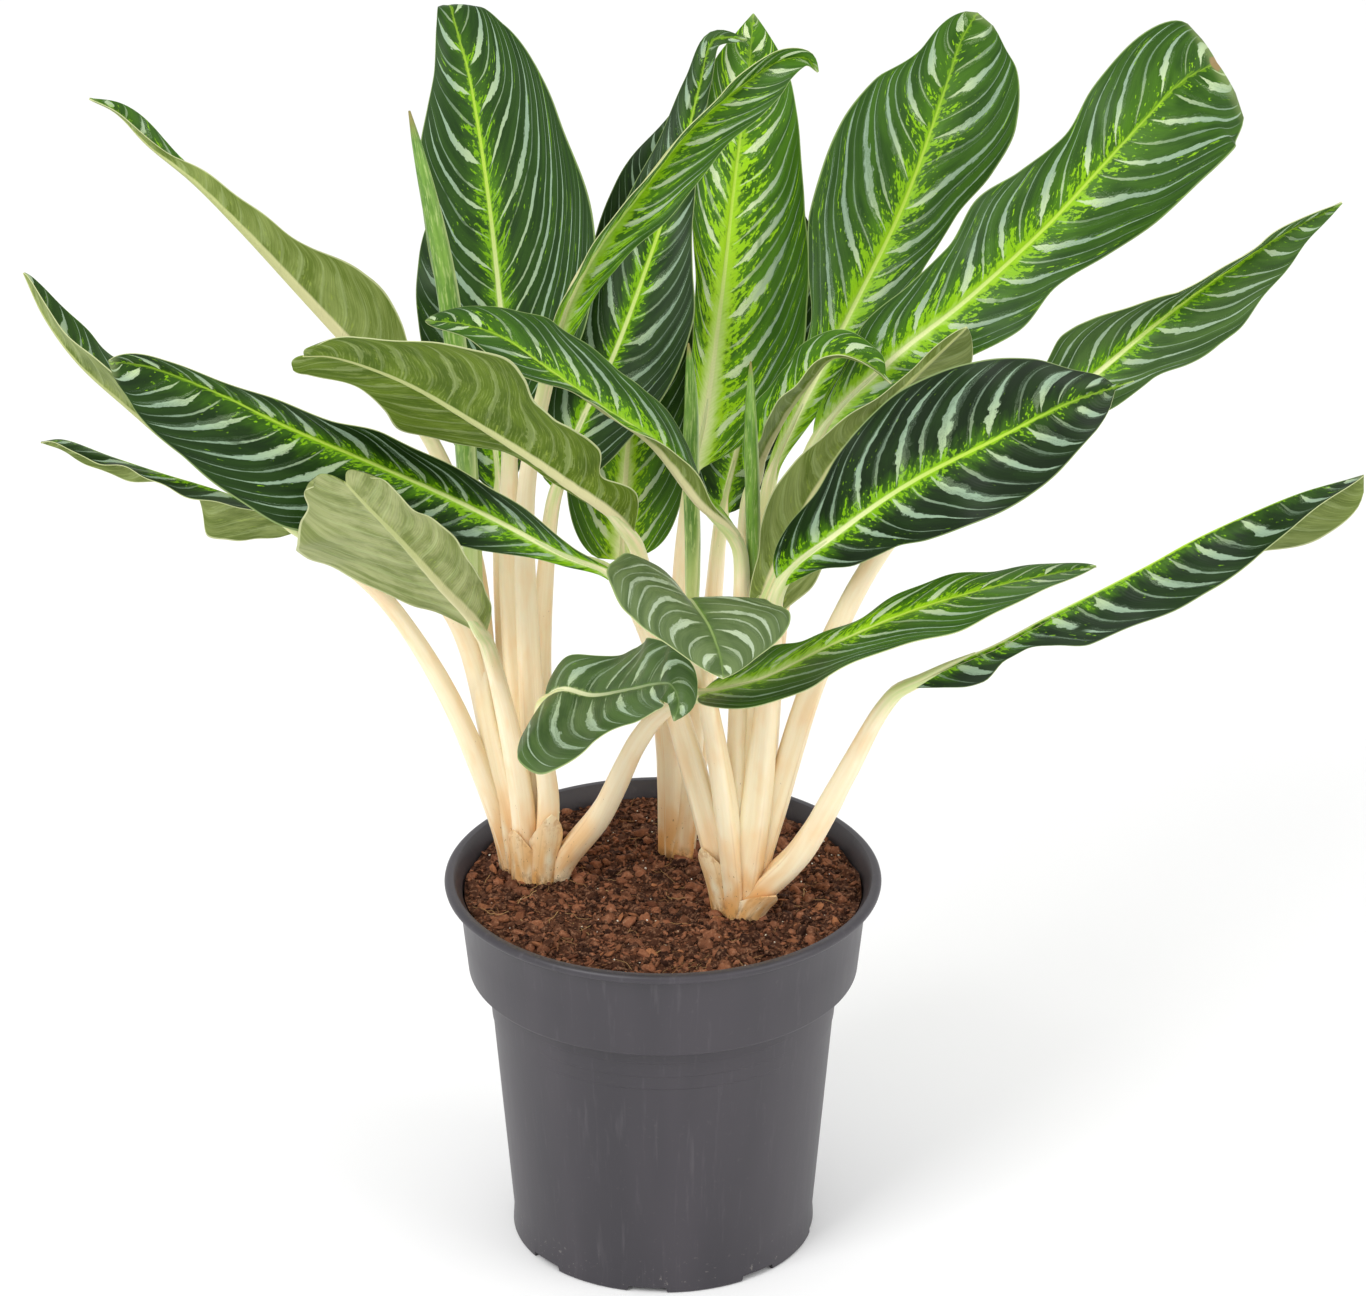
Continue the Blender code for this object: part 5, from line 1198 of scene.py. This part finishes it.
def add_sheath(shape, leaf, looks, seed, height, opening, lean):
    """A loose papery sheath round the foot of a stalk: a shell open on one side that slants up to a point."""
    fine, base, _ = route(leaf)
    rows, columns = SHEATH_ROWS, SHEATH_COLUMNS
    dots = []
    points, ways = along(fine, [height * MM * k / (rows - 1) + SHEATH_START for k in range(rows)])
    soil_z = SOIL_EDGE_Z + SOIL_CROWN_RISE
    for layer in (0, 1):
        for i in range(rows):
            tall = i / (rows - 1)
            for j in range(columns):
                across = j / (columns - 1) * 2 - 1
                rise = tall * (1 - 0.62 * abs(across) ** 1.3)
                place = rise * (rows - 1)
                at = min(int(place), rows - 2)
                point = points[at].lerp(points[at + 1], place - at)
                way = ways[at].lerp(ways[at + 1], place - at).normalized()
                side, other = squared(Vector((1, 0, 0)), way)
                share = (height * MM * rise + SHEATH_START) / base
                radius = stalk_radius(share, looks.get("girth", 1.0)) * foot_swell(point.z - soil_z)
                radius += SHEATH_STAND_OFF - SHEATH_THICKNESS * layer + 0.9 * MM * abs(across) ** 3
                radius += 1.2 * MM * rise * rise
                angle = lean + across * opening
                spoke = side * math.cos(angle) + other * math.sin(angle)
                browned = 1.0 if abs(across) > 0.8 or tall > 0.9 else 0.4
                dots.append((point + spoke * radius, (share, (point.z - soil_z) / CM, seed + 0.4),
                             (across, browned, 0.0)))
    shape.add_dots(dots, sheet_faces(rows, columns) + shell_faces(rows, columns))


def make_crown(name, look):
    """All the stalks of one crown, with their sheaths, in place of the CAD crown."""
    shape = Shape("stalk", "turn")
    for k, (leaf_name, leaf) in enumerate(LEAVES.items()):
        if leaf["crown"] == name:
            add_stalk(shape, leaf, LOOKS[leaf_name], k * 0.371 % 1.0)
    for k, spear in enumerate(SPEARS.values()):
        if spear["crown"] == name:
            add_stalk(shape, spear, {}, 0.17 + k * 0.29)
    for k, (leaf_name, height, opening, lean) in enumerate(SHEATHS[name]):
        add_sheath(shape, LEAVES[leaf_name], LOOKS[leaf_name], k * 0.23, height, opening, lean)
    return shape.piece("petioles_" + name, [look], "stalk", "stalks_" + name)


def make_spear(name, spear, look):
    """A leaf still rolled up: a tapering roll whose free edge winds slowly round it."""
    fine, base, total = route(spear)
    runs = [base + (total - base) * k / (SPEAR_RINGS - 1) for k in range(SPEAR_RINGS)]
    points, ways = along(fine, runs)
    seed = list(SPEARS).index(name) * 0.37
    rows = list(zip(SPEAR_SHARES, SPEAR_THICKNESS))
    shape = Shape("stalk", "turn")
    dots = []
    for k, (point, way) in enumerate(zip(points, ways)):
        share = k / (SPEAR_RINGS - 1)
        side, other = squared(Vector((1, 0, 0)), way)
        radius = spear["radius"] * MM * graded(rows, share)[0]
        seam = -1.2 + share * 1.6
        for j in range(SPEAR_SIDES):
            wrap = j / (SPEAR_SIDES - 1)
            angle = seam + 2 * math.pi * wrap
            spiral = radius * (SPEAR_INNER + (SPEAR_OUTER - SPEAR_INNER) * wrap)
            spoke = side * math.cos(angle) + other * math.sin(angle) * SPEAR_FLATNESS
            stored_height = (point.z - SOIL_EDGE_Z) / CM
            dots.append((point + spoke * spiral, (share, stored_height, seed), (wrap, wrap, 1.0)))
    shape.add_dots(dots, tube_faces(SPEAR_RINGS, SPEAR_SIDES))
    return shape.piece("rolled_leaf_" + name, [look], "spear", "spear_" + name, sharp=50)


# Soil
def wall_inside(z):
    """The pot's inner radius at a height inside its collar."""
    low, high = COLLAR_BOTTOM_RADIUS - WALL - 0.2 * MM, COLLAR_TOP_RADIUS - WALL
    return blend((low, high), (z - COLLAR_BOTTOM_Z) / (POT_HEIGHT - COLLAR_BOTTOM_Z))


def ground(x, y):
    """Height of the soil at a place: a low crown, banked up a little round the canes, with lumps and pits."""
    reach = math.hypot(x, y) / LIP_RADIUS
    z = SOIL_EDGE_Z + SOIL_CROWN_RISE * math.cos(reach * math.pi / 2)
    place = Vector((x * 70, y * 70, 0.4))
    lumps = noise.noise(place) + 0.6 * noise.noise(place * 2.3) + 0.4 * noise.noise(place * 5.1)
    return z + SOIL_LUMPS * 0.7 * lumps - 0.6 * MM


def add_grain(shape, base, where, size, stretch, rng, tone, kind):
    """One crumb, clod or chip: a rough lump turned any way and pushed out of true."""
    points, faces = base
    spin = Matrix.Rotation(rng.uniform(0, math.tau), 3, "Z")
    for axis in "XY":
        spin = spin @ Matrix.Rotation(rng.uniform(-0.7, 0.7), 3, axis)
    seed = rng.random()
    placed = []
    for p in points:
        push = 1 + rng.uniform(-0.28, 0.28)
        q = Vector((p[0] * stretch[0], p[1] * stretch[1], p[2] * stretch[2])) * size * push
        placed.append(where + spin @ q)
    shape.add(placed, faces, grain=[(tone, kind, seed)] * len(placed))


def lump(subdivisions):
    """Points and faces of a unit lump to be roughened."""
    shape = bmesh.new()
    bmesh.ops.create_icosphere(shape, subdivisions=subdivisions, radius=1.0)
    points = [tuple(v.co) for v in shape.verts]
    faces = [tuple(v.index for v in f.verts) for f in shape.faces]
    shape.free()
    return points, faces


def add_fibre(shape, x, y, rng, tone):
    """A thin root or straw lying on the soil in a loose curve."""
    heading = rng.uniform(0, math.tau)
    length = rng.uniform(5, 17) * MM
    thick = rng.uniform(0.10, 0.22) * MM
    steps = 7
    rings = []
    for _ in range(steps):
        z = ground(x, y) + thick + rng.uniform(0.4, 1.3) * MM
        for turn in (0, 2.1, 4.2):
            lie = math.cos(turn)
            off = Vector((-math.sin(heading) * lie, math.cos(heading) * lie, math.sin(turn)))
            rings.append(Vector((x, y, z)) + off * thick)
        heading += rng.uniform(-0.55, 0.55)
        x += math.cos(heading) * length / steps
        y += math.sin(heading) * length / steps
    shape.add(rings, tube_faces(steps, 3), grain=[(tone, 2.0, tone)] * len(rings))


def make_soil(look):
    """The potting mix: one body with a lumpy top, and crumbs, clods, bark and fibres lying on it."""
    rng = random.Random(11)
    shape = Shape("grain")
    low = BASE_RADIUS - WALL - 3.6 * MM - SOIL_CLEARANCE
    body = BODY_TOP_RADIUS - WALL - 0.4 * MM - SOIL_CLEARANCE
    collar = COLLAR_BOTTOM_RADIUS - WALL - 0.3 * MM - SOIL_CLEARANCE
    edge = wall_inside(SOIL_EDGE_Z) - 0.5 * MM
    rings = [
        (low, FLOOR_TOP + 0.4 * MM),
        (low + 1.2 * MM, FLOOR_TOP + 2.2 * MM),
        (body, COLLAR_BOTTOM_Z - 1.0 * MM),
        (body + 0.8 * MM, COLLAR_BOTTOM_Z + 2.0 * MM),
        (collar, COLLAR_BOTTOM_Z + 3.4 * MM),
    ]
    tops = [edge * (1 - k / SOIL_RINGS) for k in range(SOIL_RINGS)]
    points = []
    for radius, z in rings + [(radius, None) for radius in tops]:
        for k in range(SOIL_SIDES):
            turn = math.tau * k / SOIL_SIDES
            x, y = radius * math.cos(turn), radius * math.sin(turn)
            points.append(Vector((x, y, ground(x, y) if z is None else z)))
    rows = len(rings) + len(tops)
    faces = sheet_faces(rows, SOIL_SIDES, closed=True)
    faces.append(tuple(reversed(range(SOIL_SIDES))))
    last = (rows - 1) * SOIL_SIDES
    points.append(Vector((0, 0, ground(0, 0))))
    for k in range(SOIL_SIDES):
        faces.append((last + k, last + (k + 1) % SOIL_SIDES, len(points) - 1))
    shape.add(points, faces, grain=[(0.25, 0.0, 0.5)] * len(points))

    lumps = {"small": lump(1), "large": lump(2)}

    def spot(size):
        radius = (edge - size) * math.sqrt(rng.random())
        turn = rng.uniform(0, math.tau)
        return radius * math.cos(turn), radius * math.sin(turn)

    for grain in GRAINS:
        for _ in range(grain["count"]):
            size = rng.uniform(*grain["sizes"]) * MM
            x, y = spot(size * grain.get("room", 1.0))
            if "thinned" in grain and y > 0 and rng.random() < grain["thinned"]:
                continue
            stretch = [rng.uniform(*pair) for pair in grain["stretches"]]
            where = Vector((x, y, ground(x, y) + size * grain["rise"]))
            tone = rng.random() ** grain["spread"]
            add_grain(shape, lumps[grain["lump"]], where, size, stretch, rng, tone, grain["kind"])
    for _ in range(FIBRES):
        x, y = spot(9 * MM)
        add_fibre(shape, x, y, rng, rng.random())
    for _ in range(WHITE_SPECKS):
        size = rng.uniform(0.25, 0.6) * MM
        x, y = spot(size)
        where = Vector((x, y, ground(x, y) + 0.9 * MM))
        add_grain(shape, lumps["small"], where, size, (1, 1, 0.8), rng, rng.random(), 3.0)
    return shape.piece("potting_mix", [look], "soil", "soil", sharp=70)


# Pot
def pot_profile():
    """The pot's outline as (radius, height), from the pad up the outside, over the lip and down inside."""
    foot_in = BASE_RADIUS - FOOT_RING_WIDTH
    lip_low = POT_HEIGHT - LIP_DEPTH
    wall_low = BASE_RADIUS - WALL - 0.8 * MM
    wall_high = BODY_TOP_RADIUS - WALL - 0.2 * MM
    profile = [
        (0, 0.0),
        (PAD_RADIUS, 0.0),
        (PAD_RADIUS + 1.0 * MM, FLOOR_UNDERSIDE),
        (foot_in - 1.0 * MM, FLOOR_UNDERSIDE),
        (foot_in, 0.0),
    ]
    profile += fillet(BASE_RADIUS - EDGE, EDGE, EDGE, -90, 0)
    line_heights = [COLLAR_BOTTOM_Z - depth for depth in RING_LINES]
    for k in range(1, BODY_STEPS):
        z = blend((EDGE, COLLAR_BOTTOM_Z - EDGE - 0.024), k / (BODY_STEPS - 1))
        profile.append((body_radius(z) - len(RING_LINES) * RING_LINE_STEP, z))
    for count, z in enumerate(reversed(line_heights)):
        under = (len(RING_LINES) - count) * RING_LINE_STEP
        profile.append((body_radius(z) - under, z - 0.25 * MM))
        profile.append((body_radius(z) - under + RING_LINE_STEP, z + 0.05 * MM))
    profile += [
        (BODY_TOP_RADIUS - 0.05 * MM, COLLAR_BOTTOM_Z - 1.6 * MM),
        (BODY_TOP_RADIUS + 0.25 * MM, COLLAR_BOTTOM_Z - 0.5 * MM),
        (BODY_TOP_RADIUS + 1.0 * MM, COLLAR_BOTTOM_Z),
    ]
    profile += fillet(COLLAR_BOTTOM_RADIUS - 1.6 * MM, COLLAR_BOTTOM_Z + 1.6 * MM, 1.6 * MM, -90, -5)
    profile += [
        (blend((COLLAR_BOTTOM_RADIUS, COLLAR_TOP_RADIUS), 0.5), blend((COLLAR_BOTTOM_Z, lip_low), 0.5)),
        (COLLAR_TOP_RADIUS, lip_low - EDGE),
        (COLLAR_TOP_RADIUS + 0.3 * MM, lip_low - 0.5 * EDGE),
        (COLLAR_TOP_RADIUS + EDGE, lip_low),
    ]
    roll = LIP_DEPTH / 2
    profile += fillet(LIP_RADIUS - roll, POT_HEIGHT - roll, roll, -80, 80)
    profile += [
        (LIP_RADIUS - roll - 0.6 * MM, POT_HEIGHT),
        (COLLAR_TOP_RADIUS + 2.1 * MM, POT_HEIGHT - 0.1 * MM),
        (COLLAR_TOP_RADIUS + 1.3 * MM, POT_HEIGHT - 0.8 * MM),
        (COLLAR_TOP_RADIUS + 0.5 * MM, POT_HEIGHT - 2.6 * MM),
        (COLLAR_TOP_RADIUS - WALL, POT_HEIGHT - LIP_INSIDE_DROP),
        (COLLAR_BOTTOM_RADIUS - WALL - 0.2 * MM, COLLAR_BOTTOM_Z + 2 * EDGE),
        (wall_high + 1.0 * MM, COLLAR_BOTTOM_Z + EDGE),
        (wall_high, COLLAR_BOTTOM_Z - EDGE / 2),
        (wall_low, FLOOR_TOP + 1.6 * MM),
        (wall_low - 1.6 * MM, FLOOR_TOP),
        (0, FLOOR_TOP),
    ]
    return profile


def body_radius(z):
    """Radius of the pot's tapered body at a height."""
    return blend((BASE_RADIUS, BODY_TOP_RADIUS), (z - EDGE) / (COLLAR_BOTTOM_Z - 2 * EDGE))


def fillet(x, z, radius, start, end, steps=6):
    """Points on a round corner about (x, z), between two angles in degrees."""
    turns = [math.radians(start + (end - start) * k / steps) for k in range(steps + 1)]
    return [(x + radius * math.cos(turn), z + radius * math.sin(turn)) for turn in turns]


def plain_object(name, shape):
    """A bmesh as an object, for what is only cut with."""
    bmesh.ops.recalc_face_normals(shape, faces=shape.faces)
    mesh = bpy.data.meshes.new(name)
    shape.to_mesh(mesh)
    shape.free()
    return new_object(name, mesh)


def make_pot(look):
    """The pot as one turned moulding, with its drainage arches and holes cut through."""
    profile = pot_profile()
    shape = bmesh.new()
    rings = []
    for radius, z in profile:
        turns = [math.tau * k / POT_SIDES for k in range(POT_SIDES if radius else 1)]
        rings.append([shape.verts.new((radius * math.cos(a), radius * math.sin(a), z)) for a in turns])
    for low, high in zip(rings, rings[1:]):
        for k in range(POT_SIDES):
            after = (k + 1) % POT_SIDES
            if len(low) == 1:
                shape.faces.new((low[0], high[k], high[after]))
            elif len(high) == 1:
                shape.faces.new((low[k], low[after], high[0]))
            else:
                shape.faces.new((low[k], low[after], high[after], high[k]))
    pot = plain_object("nursery_pot", shape)
    tools = bpy.data.collections.new("pot_cutters")
    for k in range(DRAIN_ARCHES):
        turn = math.radians(FIRST_ARCH + 360 / DRAIN_ARCHES * k)
        arch = bmesh.new()
        size = Matrix.Diagonal((DRAIN_ARCH_REACH, DRAIN_ARCH_WIDTH, 2 * DRAIN_ARCH_HEIGHT, 1.0))
        place = Matrix.Rotation(turn, 4, "Z") @ Matrix.Translation((BASE_RADIUS - 1.0 * MM, 0, 0)) @ size
        bmesh.ops.create_cube(arch, size=1.0, matrix=place)
        for v in arch.verts:
            if v.co.z > 0:
                away = Matrix.Rotation(-turn, 4, "Z") @ v.co
                away.y *= 0.86
                v.co = Matrix.Rotation(turn, 4, "Z") @ away
        tools.objects.link(plain_object("cut_arch_%d" % k, arch))
    for k in range(FLOOR_HOLES):
        turn = math.radians(45 + 360 / FLOOR_HOLES * k)
        hole = bmesh.new()
        x, y = FLOOR_HOLE_CIRCLE * math.cos(turn), FLOOR_HOLE_CIRCLE * math.sin(turn)
        bmesh.ops.create_cone(hole, cap_ends=True, segments=32, radius1=FLOOR_HOLE_RADIUS,
                              radius2=FLOOR_HOLE_RADIUS, depth=3 * FLOOR_TOP,
                              matrix=Matrix.Translation((x, y, FLOOR_TOP / 2)))
        tools.objects.link(plain_object("cut_drain_%d" % k, hole))
    step = pot.modifiers.new("drains", "BOOLEAN")
    step.operation = "DIFFERENCE"
    step.operand_type = "COLLECTION"
    step.collection = tools
    step.solver = "EXACT"
    bpy.context.view_layer.objects.active = pot
    pot.select_set(True)
    bpy.context.view_layer.update()
    bpy.ops.object.modifier_apply(modifier=step.name)
    for tool in list(tools.objects):
        bpy.data.objects.remove(tool, do_unlink=True)
    bpy.data.collections.remove(tools)
    pot.data.materials.clear()
    pot.data.materials.append(look)
    pot.data.shade_smooth()
    pot.data.set_sharp_from_angle(angle=math.radians(32))
    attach(pot, "root")
    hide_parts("pot")
    return pot


# Stage
def make_stage():
    """A pale floor, a plain bright sky, two soft lights and the camera."""
    world = bpy.data.worlds.new("studio")
    bpy.context.scene.world = world
    world.use_nodes = True
    sky = world.node_tree.nodes["Background"]
    sky.inputs["Color"].default_value = (1.0, 1.0, 1.0, 1.0)
    sky.inputs["Strength"].default_value = SKY_STRENGTH

    shape = bmesh.new()
    bmesh.ops.create_grid(shape, x_segments=1, y_segments=1, size=FLOOR_HALF_SIZE)
    floor = plain_object("floor", shape)
    paint, _ = new_look("floor_white")
    floor.data.materials.append(finished(paint, (0.94, 0.94, 0.94, 1.0), 0.9))

    for name, place, size, power in LIGHTS:
        data = bpy.data.lights.new(name, "AREA")
        data.size = size
        data.energy = power
        light = new_object(name, data)
        light.location = place
        aim = Vector(LIGHTS_AIM) - Vector(place)
        light.rotation_euler = aim.to_track_quat("-Z", "Y").to_euler()

    data = bpy.data.cameras.new("camera")
    data.sensor_fit = "HORIZONTAL"
    data.sensor_width = SENSOR_WIDTH
    data.lens = CAMERA_LENS
    camera = new_object("camera", data)
    camera.location = CAMERA_PLACE
    camera.rotation_euler = (math.radians(CAMERA_TILT), 0.0, 0.0)
    bpy.context.scene.camera = camera
    bpy.context.scene.view_settings.view_transform = "Standard"


def main():
    make_stage()
    make_pot(make_pot_look())
    make_soil(make_soil_look())
    stalk_look = make_stalk_look()
    for name in CROWNS:
        make_crown(name, stalk_look)
    top_look = make_leaf_top()
    under_look = make_leaf_under()
    for name, leaf in LEAVES.items():
        make_blade(name, leaf, top_look, under_look)
    spear_look = make_spear_look()
    for name, spear in SPEARS.items():
        make_spear(name, spear, spear_look)


main()
